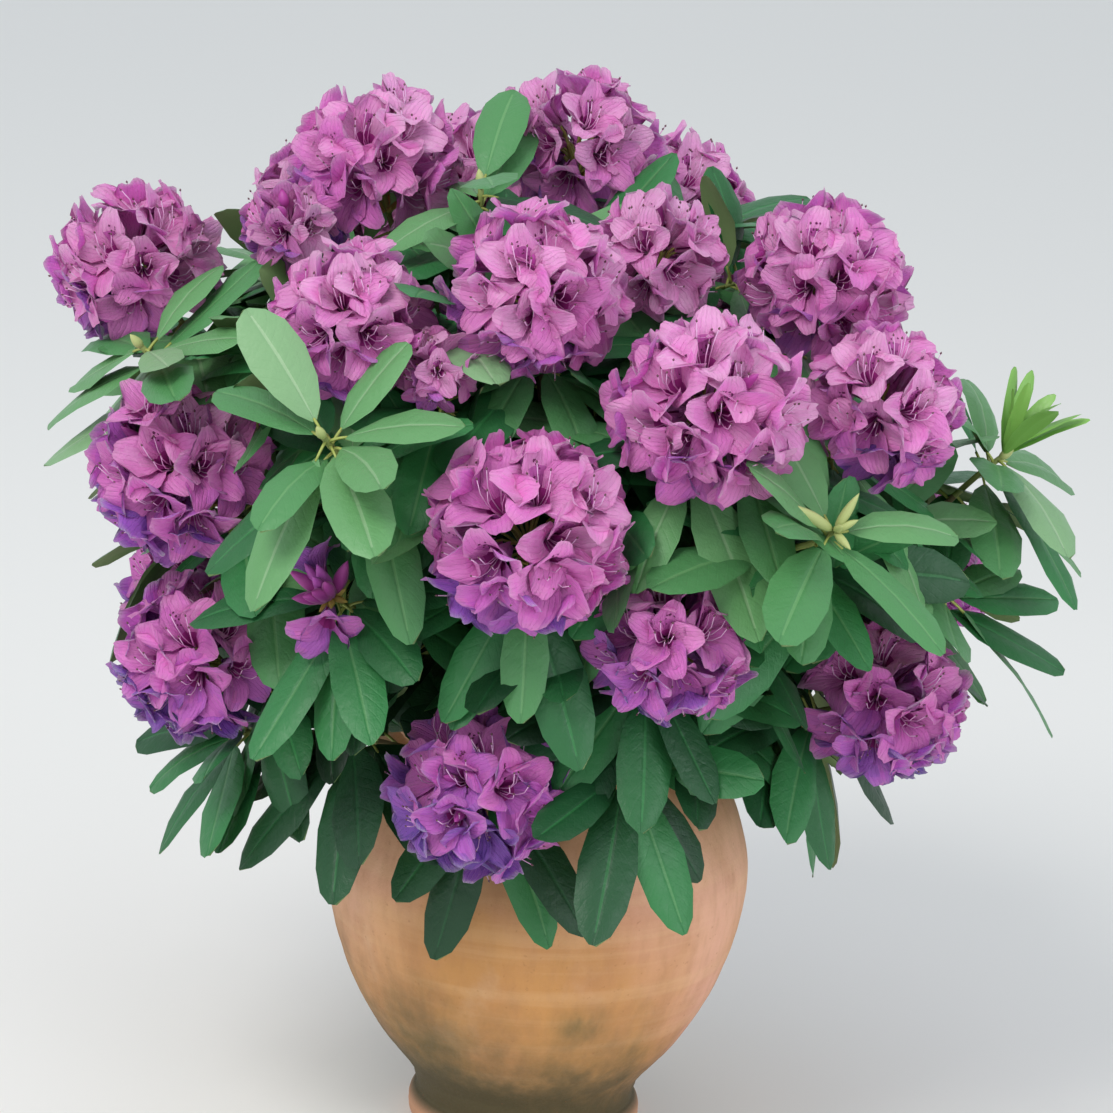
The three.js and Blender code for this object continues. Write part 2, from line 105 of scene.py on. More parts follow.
# Shoots point away from this place, and a twig ends this share of its truss's diameter short of the
# shoot's own place
SPRING = np.array([0.0, 0.0, 300 * MM])
SEAT = 38 / 150

# A leaf and the whorls it grows in. A whorl's leaves stand an even step of a turn apart over a span of
# the twig that starts some way back from its end, each at an angle from the shoot's axis. A mass gets a
# few side twigs, and each has a whorl as well.
LEAF = {"blade": 102 * MM, "width": 43 * MM, "petiole": 15 * MM, "droop": 15 * MM, "thick": 0.7 * MM}
WHORL = {
    "truss": {"leaves": 10, "back": 17 * MM, "span": 20 * MM, "lean": (84, 112)},
    "leafy": {"leaves": 10, "back": 3 * MM, "span": 20 * MM, "lean": (52, 94)},
    "bud": {"leaves": 9, "back": 6 * MM, "span": 18 * MM, "lean": (72, 100)},
    "older": {"leaves": 5, "back": 46 * MM, "span": 30 * MM, "lean": (76, 108)},
    "side": {"leaves": 8, "back": 2 * MM, "span": 16 * MM, "lean": (58, 100)},
}
WHORL_STEP = 3 / 8

# What leaves differ in: shares of the width and the droop, the fold of each half, the blade's bow and its
# sweep sideways in millimetres. The ripple of their edges has the same height on all of them.
LEAF_SWAY = {
    "width": (0.9, 1.1), "fold": (0.1, 0.34), "droop": (0.5, 1.7), "bow": (-3, 5), "sweep": 3.5,
    "ripple": 1.5 * MM,
}

# The side twigs of a mass: how many, their angle from the limb and length in millimetres, the share of
# the crown's reach that they keep inside, how far their ends keep apart and how high they keep. Then what
# a place costs for its crowding and for each metre too near, too far out or too low, and the cost past
# which it is left out.
SIDE_TWIG = {
    "count": 4, "lean": (35, 70), "long": (60, 130), "inside": 0.86, "apart": 80 * MM, "above": 400 * MM,
}
SIDE_COST = {"crowded": 4, "near": 40, "beyond": 80, "low": 10, "most": 3}

# New leaves of a fresh shoot: how many, how far their sheaf turns up, their tilt from it and their size,
# how far back they start and their width as a share of a grown leaf's
FRESH = {"count": 9, "upright": 1.1, "tilt": (8, 38), "size": (0.6, 0.88), "back": 8 * MM, "width": 0.42}

# A mass is the height where its bough leaves the trunk, and its shoots. A shoot is (kind, turn, out, up,
# diameter): degrees round the jar from the front towards the right, then its distance from the jar's
# axis and its height. All lengths are in millimetres, and the masses are the solids' own.
MASSES = {
    "lower_front": (366, [("truss", -11, 250, 365, 135), ("leafy", -44, 220, 375, 0)]),
    "lower_front_right": (378, [("truss", 18, 280, 495, 125), ("leafy", 15, 245, 385, 0)]),
    "lower_right": (368, [("truss", 63, 285, 420, 140)]),
    "lower_left": (370, [("truss", -64, 300, 420, 140), ("leafy", -72, 260, 345, 0)]),
    "front": (396, [("truss", -4, 305, 580, 160), ("bud", -35, 300, 515, 70)]),
    "right": (400, [("fresh", 80, 345, 600, 0), ("leafy", 67, 330, 505, 0)]),
    "left": (398, [("truss", -66, 315, 565, 150)]),
    "front_right": (410, [("truss", 21, 285, 670, 150), ("spears", 36, 340, 590, 0)]),
    "front_left": (414, [
        ("truss", -39, 255, 705, 130), ("truss", -22, 260, 690, 90), ("leafy", -31, 335, 640, 0),
    ]),
    "upper_left": (424, [("truss", -87, 340, 700, 140), ("leafy", -70, 345, 660, 0)]),
    "upper_right": (420, [("truss", 64, 210, 735, 140), ("truss", 51, 300, 660, 130)]),
    "upper_front": (432, [("truss", -7, 205, 735, 140)]),
    "top_left": (438, [
        ("truss", -94, 160, 785, 140), ("truss", -75, 230, 750, 100), ("leafy", -63, 85, 785, 0),
    ]),
    "top_right": (442, [
        ("truss", -177, 60, 800, 135), ("truss", 30, 125, 750, 110), ("leafy", 124, 110, 745, 0),
    ]),
}

# The side away from the viewer: rings of shoots at an even step of turn from the first, two shoots to a
# mass. A ring falls towards the right, one of its shoots may be leafy, and its boughs leave the trunk at
# about the same height.
BACK_RINGS = {
    "back_low": {
        "up": 398, "out": 290, "fall": 0.08, "first": 100,
        "step": 40, "count": 5, "leafy": 2, "leaves": 374,
    },
    "back_mid": {
        "up": 524, "out": 324, "fall": 0.12, "first": 108,
        "step": 35, "count": 5, "leafy": 4, "leaves": 404,
    },
    "back_upper": {
        "up": 642, "out": 285, "fall": 0.2, "first": 122,
        "step": 34, "count": 4, "leafy": 5, "leaves": 428,
    },
    "back_top": {
        "up": 735, "out": 195, "fall": 0.2, "first": 110,
        "step": 48, "count": 3, "leafy": 5, "leaves": 446,
    },
}
BACK_SHOOT = {"diameter": 142, "sway_up": 8, "sway_out": 5, "sway_diameter": 5, "leaves_apart": 3}

# An open flower, measured along a petal from the flower's foot to the tip of a lobe: the slope away
# from the flower's axis in degrees and the lobe's half-width in millimetres at a few stations
FLOWER = {
    "length": 52 * MM,
    "foot": 2.5 * MM,
    "stations": (0.0, 0.27, 0.46, 0.62, 0.8, 1.0),
    "slope": (6, 22, 32, 50, 68, 84),
    "half_width": (1.8, 5.8, 9.0, 14.6, 16.6, 11.0),
    "thick": 0.45 * MM,
}

# How far a petal's surface stands off its plain form: the ruffle of its edges, the waves of its lip, the
# groove up its middle and the lap over the next petal
FRILL = {"ruffle": 2.6 * MM, "lip": 1.7 * MM, "groove": 1.3 * MM, "lap": 1.8 * MM}

# What petals differ in: radians round the flower, degrees of bend, with the upper ones straighter, and
# share of the breadth
PETAL_SWAY = {"turn": 0.06, "bend": 12, "upright": 7, "breadth": (0.92, 1.16)}

# Petals of a flower, the shares of its length where a petal has its rows of points, the points across
# and the freckles of an upper petal
LOBES = 5
PETAL_ROWS = np.array([0, 0.36, 0.62, 0.84, 1])
LOBE_COLUMNS = 9
FLECKS = 10

# The flowers of a truss of the usual size, the turn from one to the next, the cosines of the first one's
# and the last one's tilt, and how far they stray in tilt, droop, aim and size
FLOWERS = 22
GOLDEN_TURN = 137.508
STAND = {"cosines": (0.985, -0.5), "tilt": 7, "hang": 0.24, "aim": 0.11, "size": (0.96, 1.16)}

# A stamen's points in millimetres along the flower's axis, out from it and up, its radius at each, and
# how many a flower has
STAMEN = [(5, 1, 0), (16, 2.6, -2), (26, 4.2, -2.5), (35, 6, 0), (42, 8, 6)]
STAMEN_RADII = np.array([0.6, 0.5, 0.45, 0.42, 0.4]) * MM
STAMENS = 5

# Flowers are paler on this side of their truss, as painted light where light falls, and violet on the other,
# as painted shade. A flower's depth of colour goes from 0 to 1: the plain depth, the painted shade that a low
# truss adds and the painted light that a high one takes off, the painted light that the paler side takes off
# and the painted shade that the violet side adds.
LIT_SIDE = np.array([0.35, 0.0, 0.9])
TINT = {"plain": 0.36, "low": 0.2, "high": 0.25, "paler": 0.11, "violet": 0.26}

# What a petal's throat adds to that as painted shade deep in the flower, what its edges on the back and its
# back add, what its hanging adds as painted shade on petals below the flower, and what the middle of its face
# takes off, then how much each petal differs and how much places of some size on it do
PART = {"throat": 0.25, "middle": -0.06, "hanging": 0.12, "back": 0.16, "edge": 0.04}
PETAL_STRAY = {"each": 0.04, "ripple": 0.06, "size": 14 * MM}

# The radius of a truss of the usual size, and the half-width and depth of its flowers' mouths
TRUSS_RADIUS = 75 * MM
RIM = 34 * MM
DEPTH = 36 * MM

# The shares of its own size that a truss tries until it has room, and the share of two trusses' radii
# that their centres keep apart
TRUSS_SHARES = np.arange(1, 0.6, -0.04)
TRUSSES_APART = 0.9

# A truss that is just opening: its furled buds, with the middle one's tilt, the others' tilts and their
# lengths in millimetres, and two half-open flowers
OPENING = {"buds": 9, "middle": 5.0, "tilt": (16, 55), "long": (27, 38), "radius": 5.6 * MM}
HALF_OPEN = {"tilt": np.array([62.0, 70.0]), "turn": np.array([100.0, 265.0]), "size": np.array([0.8, 0.9])}

# The radii of a flower's stalk and of the core that the stalks spring from
STALK_RADII = {"flower": 1.15 * MM, "core": 2.6 * MM}

# The turn from one furled bud or new leaf of a sheaf to the next
SHEAF_TURN = 137.5

# A leaf's rows along it and columns across it
LEAF_ROWS = np.array([0, 0.09, 0.28, 0.54, 0.78, 0.93, 1])
LEAF_COLUMNS_AT = np.array([-1, -0.52, -0.055, 0.055, 0.52, 1])

# New shoots that stand furled on a leafy shoot: tilt from its axis and turn round it in degrees, and
# length in millimetres
SPEARS = [(66, 198, 56), (35, 90, 34), (35, 35, 20), (60, 300, 24), (20, 250, 18)]

# What a leaf keeps clear of: a ball of flowers at a share of its radius, the view of its face from a
# share of the radius behind its middle, the jar up to a little over its rim, and other leaves' points.
# Then how deep a point has to be in each, or how far outside the box, for a cost of 1.
CLEAR = {"ball": 0.93, "face": 0.8, "behind": 0.3, "jar": 7 * MM, "rim": 362 * MM, "leaf": 15 * MM}
COST_OF_ONE = {"ball": 10 * MM, "face": 14 * MM, "jar": 6 * MM, "leaf": 18 * MM, "box": 10 * MM}

# The middle of the crown, how many places a new leaf tries, and the cost past which it is left out
CROWN = np.array([0.0, 0.0, 540 * MM])
TRIES = 12
MOST_CROWDED = 2.2

# Faces that meet at a sharper edge than this, as at a petal's rim, are shaded apart
KNIFE_EDGE = np.radians(140)

# Leaves away from the shoots' ends keep above this height, so that the jar's shoulder shows
SKIRT = 375 * MM

# Petals from the palest tint to the deepest and leaves from the darkest to the palest, and how many
# tints are dealt out along each row
PETAL_CODES = ("e899cf", "e17cc2", "d265b9", "b358bb", "834cae", "573a92")
PETAL_TONES = 16
LEAF_CODES = ("0d2e17", "194c28", "2f763f", "5f945c", "92b288")
LEAF_TONES = 9

# The other materials of blossom and leaves follow the tints, in the order of make_finishes
THROAT_SHADE, FLECK, BLOTCH, BUD_MAGENTA, FILAMENT, ANTHER, STALK, SCALE = range(PETAL_TONES, PETAL_TONES + 8)
UNDERSIDE, YOUNG = range(LEAF_TONES, LEAF_TONES + 2)
TWIG_BARK, GREEN_TWIG, LEAF_STALK, RESTING_BUD = range(4)

# The materials of each kind of piece, which make_finishes fills in
FINISHES = {}

# What the shared surface groups take in, with the values that a new group starts with
SKIN = {"Scale": 300.0, "Smoothest": 0.4, "Roughest": 0.6, "Depth": 0.0003}

# Layers over the jar's clay: mottle, grain, the wheel's streaks and salts. A row is the noise's scale,
# stretch and shift, where its mask starts and is full, and the share and colour that it lays.
CLAY_LAYERS = [
    (22.0, (1, 1, 0.6), (2, 7, 4), (0.4, 0.66), 0.35, "b9815a"),
    (90.0, (1, 1, 0.3), (6, 1, 5), (0.4, 0.7), 0.22, "a8764c"),
    (8.0, (0.3, 0.3, 9), (0, 0, 0), (0.44, 0.64), 0.16, "edc596"),
    (13.0, (1, 1, 1), (5, 5, 2), (0.56, 0.74), 0.25, "e6c9a8"),
]

CAMERA = {"lens": 128.08, "place": (0, -3.050, 1.3278), "pitch": 15.5, "roll": 3.5}


# Small tools

def unit(vectors):
    """The vectors at length one."""
    return vectors / np.maximum(np.linalg.norm(vectors, axis=-1, keepdims=True), 1e-12)


def lerp(a, b, share):
    """From a at share 0 to b at share 1."""
    return a + (b - a) * share


def smooth_step(low, high, value):
    """0 below low, 1 above high, and three squares less two cubes between."""
    share = np.clip((value - low) / (high - low), 0, 1)
    return share * share * (3 - 2 * share)


def around(turn, out, up):
    """The place at that turn in degrees from the front, that far from the axis and that high."""
    return np.array([out * np.sin(np.radians(turn)), -out * np.cos(np.radians(turn)), up])


def crosswise(axes):
    """Two unit vectors across each axis: world X and Y turned by the least turn from +Z to it."""
    x, y, z = np.moveaxis(axes, -1, 0)
    share = 1 / (1 + np.maximum(z, -0.999))
    first = np.stack([1 - x * x * share, -x * y * share, -x], axis=-1)
    second = np.stack([-x * y * share, 1 - y * y * share, -y], axis=-1)
    return first, second


def leaning(axes, angle, turn):
    """Directions at an angle from each axis, turned round it, both in degrees."""
    first, second = crosswise(axes)
    angle = np.radians(angle)[..., None]
    turn = np.radians(turn)[..., None]
    return axes * np.cos(angle) + (first * np.cos(turn) + second * np.sin(turn)) * np.sin(angle)


def pulled_curve(corners, steps):
    """Points at even steps on curves that 3 or 4 corners [..., corner, 3] pull at: a share of the way from
    each corner to the next, and again between what that gives, until one point is left."""
    share = np.linspace(0, 1, steps)[:, None, None]
    corners = np.repeat(corners[..., None, :, :], steps, axis=-3)
    while corners.shape[-2] > 1:
        corners = lerp(corners[..., :-1, :], corners[..., 1:, :], share)
    return corners[..., 0, :]


def ripple(points, size, seed):
    """Smooth noise, mostly between -1 and 1: a sum of sine waves along seeded directions, about a size
    apart, over the root of twice their number."""
    draw = np.random.default_rng(seed)
    ways = unit(draw.normal(size=(WAVES, 3))) * draw.uniform(0.6, 1.6, (WAVES, 1)) * TAU / size
    phases = draw.uniform(0, TAU, WAVES)
    return np.sin(points @ ways.T + phases).sum(-1) / np.sqrt(WAVES * 2)


def smooth_profile(points, each):
    """A curve through the points, with as many steps from each to the next: a cubic whose slope at a
    point is half the way from the point before it to the one after it."""
    p = np.array(points, float)
    before = np.vstack([p[:1], p[:-2]])
    after = np.vstack([p[2:], p[-1:]])
    start, end = p[:-1], p[1:]
    t = (np.arange(each) / each)[:, None, None]
    square = 2 * before - 5 * start + 4 * end - after
    cube = 3 * (start - end) + after - before
    curve = start + 0.5 * t * (end - before + t * (square + t * cube))
    return np.vstack([curve.transpose(1, 0, 2).reshape(-1, p.shape[1]), p[-1:]])


# Meshes

def put(name, data):
    """A new object with that mesh, lamp or camera, in the scene."""
    made = bpy.data.objects.new(name, data)
    bpy.context.scene.collection.objects.link(made)
    return made


class Heap:
    """Points, faces and each face's material number, gathered before they become one piece."""

    def __init__(self):
        self.points = []
        self.places = []
        self.faces = []
        self.numbers = []
        self.count = 0

    def add(self, points, faces, numbers, places=0.0):
        """Faces are rows of 3 or 4 corner numbers, and numbers is one for all faces or one for each. The
        places say how far across and along its own blade a point lies."""
        points = points.reshape(-1, 3)
        self.points.append(points)
        self.places.append(np.broadcast_to(places, points.shape))
        self.faces.append(faces.reshape(-1, faces.shape[-1]) + self.count)
        self.numbers.append(np.broadcast_to(np.asarray(numbers).ravel(), self.faces[-1].shape[:1]))
        self.count += len(points)

    def add_more(self, faces, numbers):
        """More faces on the points that were added last."""
        faces = faces.reshape(-1, faces.shape[-1])
        self.faces.append(faces + self.count - len(self.points[-1]))
        self.numbers.append(np.broadcast_to(np.asarray(numbers).ravel(), faces.shape[:1]))

    def mesh(self, name, materials):
        """All the faces as one mesh with the materials that they use, smooth up to the knife edge."""
        mesh = bpy.data.meshes.new(name)
        numbers = np.concatenate(self.numbers)
        used = np.unique(numbers)
        points = np.concatenate(self.points).astype(np.float32)
        corners = np.concatenate([f.ravel() for f in self.faces]).astype(np.int32)
        totals = np.concatenate([np.full(len(f), f.shape[1]) for f in self.faces]).astype(np.int32)
        starts = np.concatenate([[0], np.cumsum(totals)[:-1]]).astype(np.int32)
        mesh.vertices.add(len(points))
        mesh.vertices.foreach_set("co", points.ravel())
        mesh.loops.add(len(corners))
        mesh.loops.foreach_set("vertex_index", corners)
        mesh.polygons.add(len(totals))
        mesh.polygons.foreach_set("loop_start", starts)
        mesh.polygons.foreach_set("loop_total", totals)
        for number in used:
            mesh.materials.append(materials[number])
        mesh.polygons.foreach_set("material_index", np.searchsorted(used, numbers).astype(np.int32))
        mesh.polygons.foreach_set("use_smooth", np.ones(len(totals), bool))
        places = np.concatenate(self.places).astype(np.float32)
        if places.any():
            attribute = mesh.attributes.new("blade_place", "FLOAT_VECTOR", "POINT")
            attribute.data.foreach_set("vector", places.ravel())
        mesh.update(calc_edges=True)
        mesh.validate()
        mesh.set_sharp_from_angle(angle=KNIFE_EDGE)
        return mesh

    def piece(self, name, materials, slot, nodes):
        """The finished object, which rides on the root body and stands for the nodes."""
        piece = put(name, self.mesh(name, materials))
        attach(piece, "root")
        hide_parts(*nodes)


def grid_faces(rows, columns, closed=False):
    """The quads of a grid of points, row by row, and round from the last column to the first if closed."""
    wide = columns if closed else columns - 1
    row, column = np.mgrid[0:rows - 1, 0:wide]
    here = row * columns + column
    aside = row * columns + (column + 1) % columns
    return np.stack([here, aside, aside + columns, here + columns], axis=-1).reshape(-1, 4)


def copies(faces, how_many, points_each):
    """The same faces for each of several bodies whose points follow one another."""
    return faces[None] + (np.arange(how_many) * points_each)[:, None, None]


def add_shells(heap, sheets, thick, front, back, places=0.0):
    """Closed thin bodies from sheets [body, row, column, 3]: each sheet, and a back that shares the
    sheet's edge and inside it lies the thickness behind, along the sheet's own normal. Front and back are
    material numbers, one for all faces or one for each face of each sheet."""
    bodies, rows, columns = sheets.shape[:3]
    normal = unit(np.cross(np.gradient(sheets, axis=2), np.gradient(sheets, axis=1)))
    behind = sheets - normal * thick
    places = np.broadcast_to(places, sheets.shape)
    points, places = [
        np.concatenate([whole.reshape(bodies, -1, 3), inner[:, 1:-1, 1:-1].reshape(bodies, -1, 3)], axis=1)
        for whole, inner in ((sheets, behind), (places, places))
    ]
    grid = np.arange(rows * columns).reshape(rows, columns)
    inside = (rows - 2) * (columns - 2)
    grid[1:-1, 1:-1] = rows * columns + np.arange(inside).reshape(rows - 2, columns - 2)
    quads = grid_faces(rows, columns)
    each = rows * columns + inside
    heap.add(points, copies(quads, bodies, each), front, places.reshape(-1, 3))
    heap.add_more(copies(grid.ravel()[quads[:, [0, 3, 2, 1]]], bodies, each), back)


def tube_points(paths, radii, sides):
    """Rings of points [body, step, side, 3] round paths [body, step, 3], across each path's tangent."""
    tangent = unit(np.gradient(paths, axis=1))
    chord = unit(paths[:, -1] - paths[:, 0])
    across = crosswise(chord)[0][:, None]
    across = unit(across - tangent * (across * tangent).sum(-1, keepdims=True))
    over = np.cross(tangent, across)
    turn = np.arange(sides) * TAU / sides
    ring = across[..., None, :] * np.cos(turn)[:, None] + over[..., None, :] * np.sin(turn)[:, None]
    return paths[:, :, None] + ring * radii[..., None, None]


def add_rings(heap, rings, numbers, first, last):
    """Closed bodies from rings of points [body, step, side, 3], ended by the points first and last. The
    material numbers are one for all, one for each body or one for each body and step."""
    bodies, steps, sides = rings.shape[:3]
    points = np.concatenate([rings.reshape(bodies, -1, 3), first[:, None], last[:, None]], axis=1)
    each = steps * sides + 2
    numbers = np.broadcast_to(np.asarray(numbers), (bodies, steps - 1))
    quads = grid_faces(steps, sides, closed=True)
    heap.add(points, copies(quads, bodies, each), np.repeat(numbers, sides, axis=1))
    side = np.arange(sides)
    after = (side + 1) % sides
    last_ring = (steps - 1) * sides
    foot = np.stack([np.full(sides, steps * sides), after, side], axis=-1)
    top = np.stack([np.full(sides, steps * sides + 1), last_ring + side, last_ring + after], axis=-1)
    heap.add_more(copies(foot, bodies, each), np.repeat(numbers[:, :1], sides, axis=1))
    heap.add_more(copies(top, bodies, each), np.repeat(numbers[:, -1:], sides, axis=1))


def add_tubes(heap, paths, radii, sides, numbers):
    """Closed round tubes along paths [body, step, 3]."""
    radii = np.broadcast_to(radii, paths.shape[:2])
    rings = tube_points(paths, radii, sides)
    add_rings(heap, rings, numbers, paths[:, 0], paths[:, -1])


# Materials

def linear(code):
    """A colour like "c98a5e" as linear red, green, blue and 1."""
    shown = np.array([int(code[i:i + 2], 16) for i in (0, 2, 4)]) / 255
    return (*np.where(shown <= 0.04045, shown / 12.92, ((shown + 0.055) / 1.055) ** 2.4), 1.0)


def ramp_of(codes, steps):
    """Linear colours at even steps along a row of colour codes."""
    stops = np.array([linear(code) for code in codes])
    place = np.linspace(0, len(codes) - 1, steps)
    return [tuple(np.interp(p, np.arange(len(codes)), stops[:, k]) for k in range(4)) for p in place]


def node(tree, kind, **values):
    """A node with its settings, and its inputs that are named by values["inputs"]."""
    made = tree.nodes.new(kind)
    for name, value in values.pop("inputs", {}).items():
        made.inputs[name].default_value = value
    for name, value in values.items():
        setattr(made, name, value)
    return made


def feed(tree, socket, value):
    """An output is linked to the socket, and a number or colour is set on it."""
    if isinstance(value, bpy.types.NodeSocket):
        tree.links.new(value, socket)
    else:
        socket.default_value = value


def lay(tree, colour, share, code):
    """A colour output or colour, with the colour of a code laid over it by a share."""
    mix = node(tree, "ShaderNodeMix", data_type="RGBA")
    feed(tree, mix.inputs["Factor"], share)
    feed(tree, mix.inputs[6], colour)
    feed(tree, mix.inputs[7], linear(code))
    return mix.outputs[2]


def mask_of(tree, value, low, high):
    """From 0 at low to 1 at high, smoothed."""
    spread = node(tree, "ShaderNodeMapRange", interpolation_type="SMOOTHSTEP",
                  inputs={"From Min": low, "From Max": high})
    tree.links.new(value, spread.inputs["Value"])
    return spread.outputs["Result"]


def noise_at(tree, scale, stretch=(1, 1, 1), detail=5.0, shift=(0, 0, 0)):
    """Noise in the piece's own place, stretched along its axes."""
    place = tree.nodes.new("ShaderNodeTexCoord")
    turn = node(tree, "ShaderNodeMapping", inputs={"Scale": stretch, "Location": shift})
    noise = node(tree, "ShaderNodeTexNoise", inputs={"Scale": scale, "Detail": detail, "Roughness": 0.55})
    tree.links.new(place.outputs["Object"], turn.inputs["Vector"])
    tree.links.new(turn.outputs["Vector"], noise.inputs["Vector"])
    return noise.outputs["Fac"]


def maths(tree, operation, *values):
    """A Math node on one or two outputs or numbers."""
    made = node(tree, "ShaderNodeMath", operation=operation)
    for socket, value in zip(made.inputs, values):
        feed(tree, socket, value)
    return made.outputs[0]


def times(tree, first, second):
    """The product of two outputs or numbers."""
    return maths(tree, "MULTIPLY", first, second)


def plus(tree, first, second):
    """The sum of two outputs or numbers."""
    return maths(tree, "ADD", first, second)


def less(tree, first, second):
    """The first output or number less the second."""
    return maths(tree, "SUBTRACT", first, second)


def absolute(tree, value):
    """The output without its sign."""
    return maths(tree, "ABSOLUTE", value)


def valleys(tree, value, count):
    """|sin| of the output times a count: even ridges with narrow valleys between them."""
    return absolute(tree, maths(tree, "SINE", times(tree, value, count)))


def skin_group(name):
    """An empty group that puts out a roughness and a normal, and the nodes at its two ends."""
    group = bpy.data.node_groups.new(name, "ShaderNodeTree")
    for title, value in SKIN.items():
        socket = group.interface.new_socket(title, in_out="INPUT", socket_type="NodeSocketFloat")
        socket.default_value = value
    group.interface.new_socket("Roughness", in_out="OUTPUT", socket_type="NodeSocketFloat")
    group.interface.new_socket("Normal", in_out="OUTPUT", socket_type="NodeSocketVector")
    return group, group.nodes.new("NodeGroupInput"), group.nodes.new("NodeGroupOutput")


def surface_group():
    """Fine unevenness that leaf, petal, bark and clay share: roughness that varies between two values,
    and a normal from the same noise as a bump of some depth."""
    group, inside, outside = skin_group("fine_surface")
    place = group.nodes.new("ShaderNodeTexCoord")
    noise = node(group, "ShaderNodeTexNoise", inputs={"Detail": 4.0, "Roughness": 0.6})
    spread = node(group, "ShaderNodeMapRange", inputs={"From Min": 0.3, "From Max": 0.7})
    bump = node(group, "ShaderNodeBump", inputs={"Strength": 1.0})
    link = group.links.new
    link(place.outputs["Object"], noise.inputs["Vector"])
    link(inside.outputs["Scale"], noise.inputs["Scale"])
    link(noise.outputs["Fac"], spread.inputs["Value"])
    link(inside.outputs["Smoothest"], spread.inputs["To Min"])
    link(inside.outputs["Roughest"], spread.inputs["To Max"])
    link(inside.outputs["Depth"], bump.inputs["Distance"])
    link(noise.outputs["Fac"], bump.inputs["Height"])
    link(spread.outputs["Result"], outside.inputs["Roughness"])
    link(bump.outputs["Normal"], outside.inputs["Normal"])
    return group


def place_on_blade(group):
    """How far across (-1 to 1) and along (0 to 1) its own leaf or petal a point lies."""
    place = node(group, "ShaderNodeAttribute", attribute_name="blade_place")
    split = group.nodes.new("ShaderNodeSeparateXYZ")
    group.links.new(place.outputs["Vector"], split.inputs[0])
    return split.outputs["X"], split.outputs["Y"]


def lay_over(group, inside, outside, fine, height, distance):
    """The fine surface, with a relief of that height laid over it, as what the group puts out."""
    link = group.links.new
    skin = node(group, "ShaderNodeGroup", node_tree=fine)
    for name in SKIN:
        link(inside.outputs[name], skin.inputs[name])
    bump = node(group, "ShaderNodeBump", inputs={"Strength": 1.0, "Distance": distance})
    link(height, bump.inputs["Height"])
    link(skin.outputs["Normal"], bump.inputs["Normal"])
    link(skin.outputs["Roughness"], outside.inputs["Roughness"])
    link(bump.outputs["Normal"], outside.inputs["Normal"])


def blade_group(fine):
    """A leaf's upper face: side veins and a midrib sunk into it, on the fine surface's unevenness. The
    side veins are the narrow valleys of |sin| of the way along less a share of the way across."""
    group, inside, outside = skin_group("blade_surface")
    across, along = place_on_blade(group)
    aside = absolute(group, across)
    slanting = less(group, along, times(group, aside, 0.2))
    veins = mask_of(group, valleys(group, slanting, 34.0), 0.0, 0.45)
    midrib = mask_of(group, aside, 0.0, 0.16)
    height = plus(group, times(group, veins, 0.4), times(group, midrib, 2.0))
    lay_over(group, inside, outside, fine, height, 0.2 * MM)
    return group


def petal_group(fine):
    """A petal's skin: fine veins sunk into it, on the fine surface's unevenness. The veins are the narrow
    valleys of |sin| of the way across, which wander a little, so they fan out as the petal widens."""
    group, inside, outside = skin_group("petal_surface")
    across, _ = place_on_blade(group)
    wander = times(group, noise_at(group, 130.0, detail=2.0), 0.24)
    veins = mask_of(group, valleys(group, plus(group, across, wander), 15.0), 0.0, 0.6)
    lay_over(group, inside, outside, fine, veins, 0.32 * MM)
    return group


def finish_of(name, colour, group, scale, roughness, depth, **sockets):
    """A material of one plain colour, with the shared fine surface for its roughness and normal."""
    material = bpy.data.materials.new(name)
    material.use_nodes = True
    tree = material.node_tree
    shader = tree.nodes["Principled BSDF"]
    shader.inputs["Base Color"].default_value = colour
    material.diffuse_color = colour
    for socket, value in sockets.items():
        shader.inputs[socket.replace("_", " ")].default_value = value
    surface = node(tree, "ShaderNodeGroup", node_tree=group)
    for socket, value in zip(SKIN, (scale, *roughness, depth)):
        surface.inputs[socket].default_value = value
    tree.links.new(surface.outputs["Roughness"], shader.inputs["Roughness"])
    tree.links.new(surface.outputs["Normal"], shader.inputs["Normal"])
    return material


def clay_tones(tree, across, height):
    """Thrown clay: rosy above, golden across the belly, rosy mottle that grows at the sides as a painted
    reflection and a paler painted rim light at the sides, then its layers in turn.
    """
    belly = plus(tree, height, times(tree, noise_at(tree, 5.0), 0.16))
    colour = lay(tree, linear("d5a182"), mask_of(tree, belly, 0.345, 0.27), "c89054")
    # Painted reflection and rim light: the sides get more rose and, higher up, a paler colour.
    flank_light = mask_of(tree, absolute(tree, across), 0.06, 0.15)
    rose = mask_of(tree, noise_at(tree, 4.5, shift=(3, 1, 7)), 0.48, 0.68)
    rose = times(tree, rose, plus(tree, times(tree, flank_light, 0.5), 0.35))
    colour = lay(tree, colour, rose, "dd9f8c")
    pale = times(tree, flank_light, mask_of(tree, height, 0.1, 0.2))
    colour = lay(tree, colour, times(tree, pale, 0.5), "e8b796")
    for scale, stretch, shift, edges, share, code in CLAY_LAYERS:
        layer = mask_of(tree, noise_at(tree, scale, stretch, shift=shift), *edges)
        colour = lay(tree, colour, times(tree, layer, share), code)
    return colour


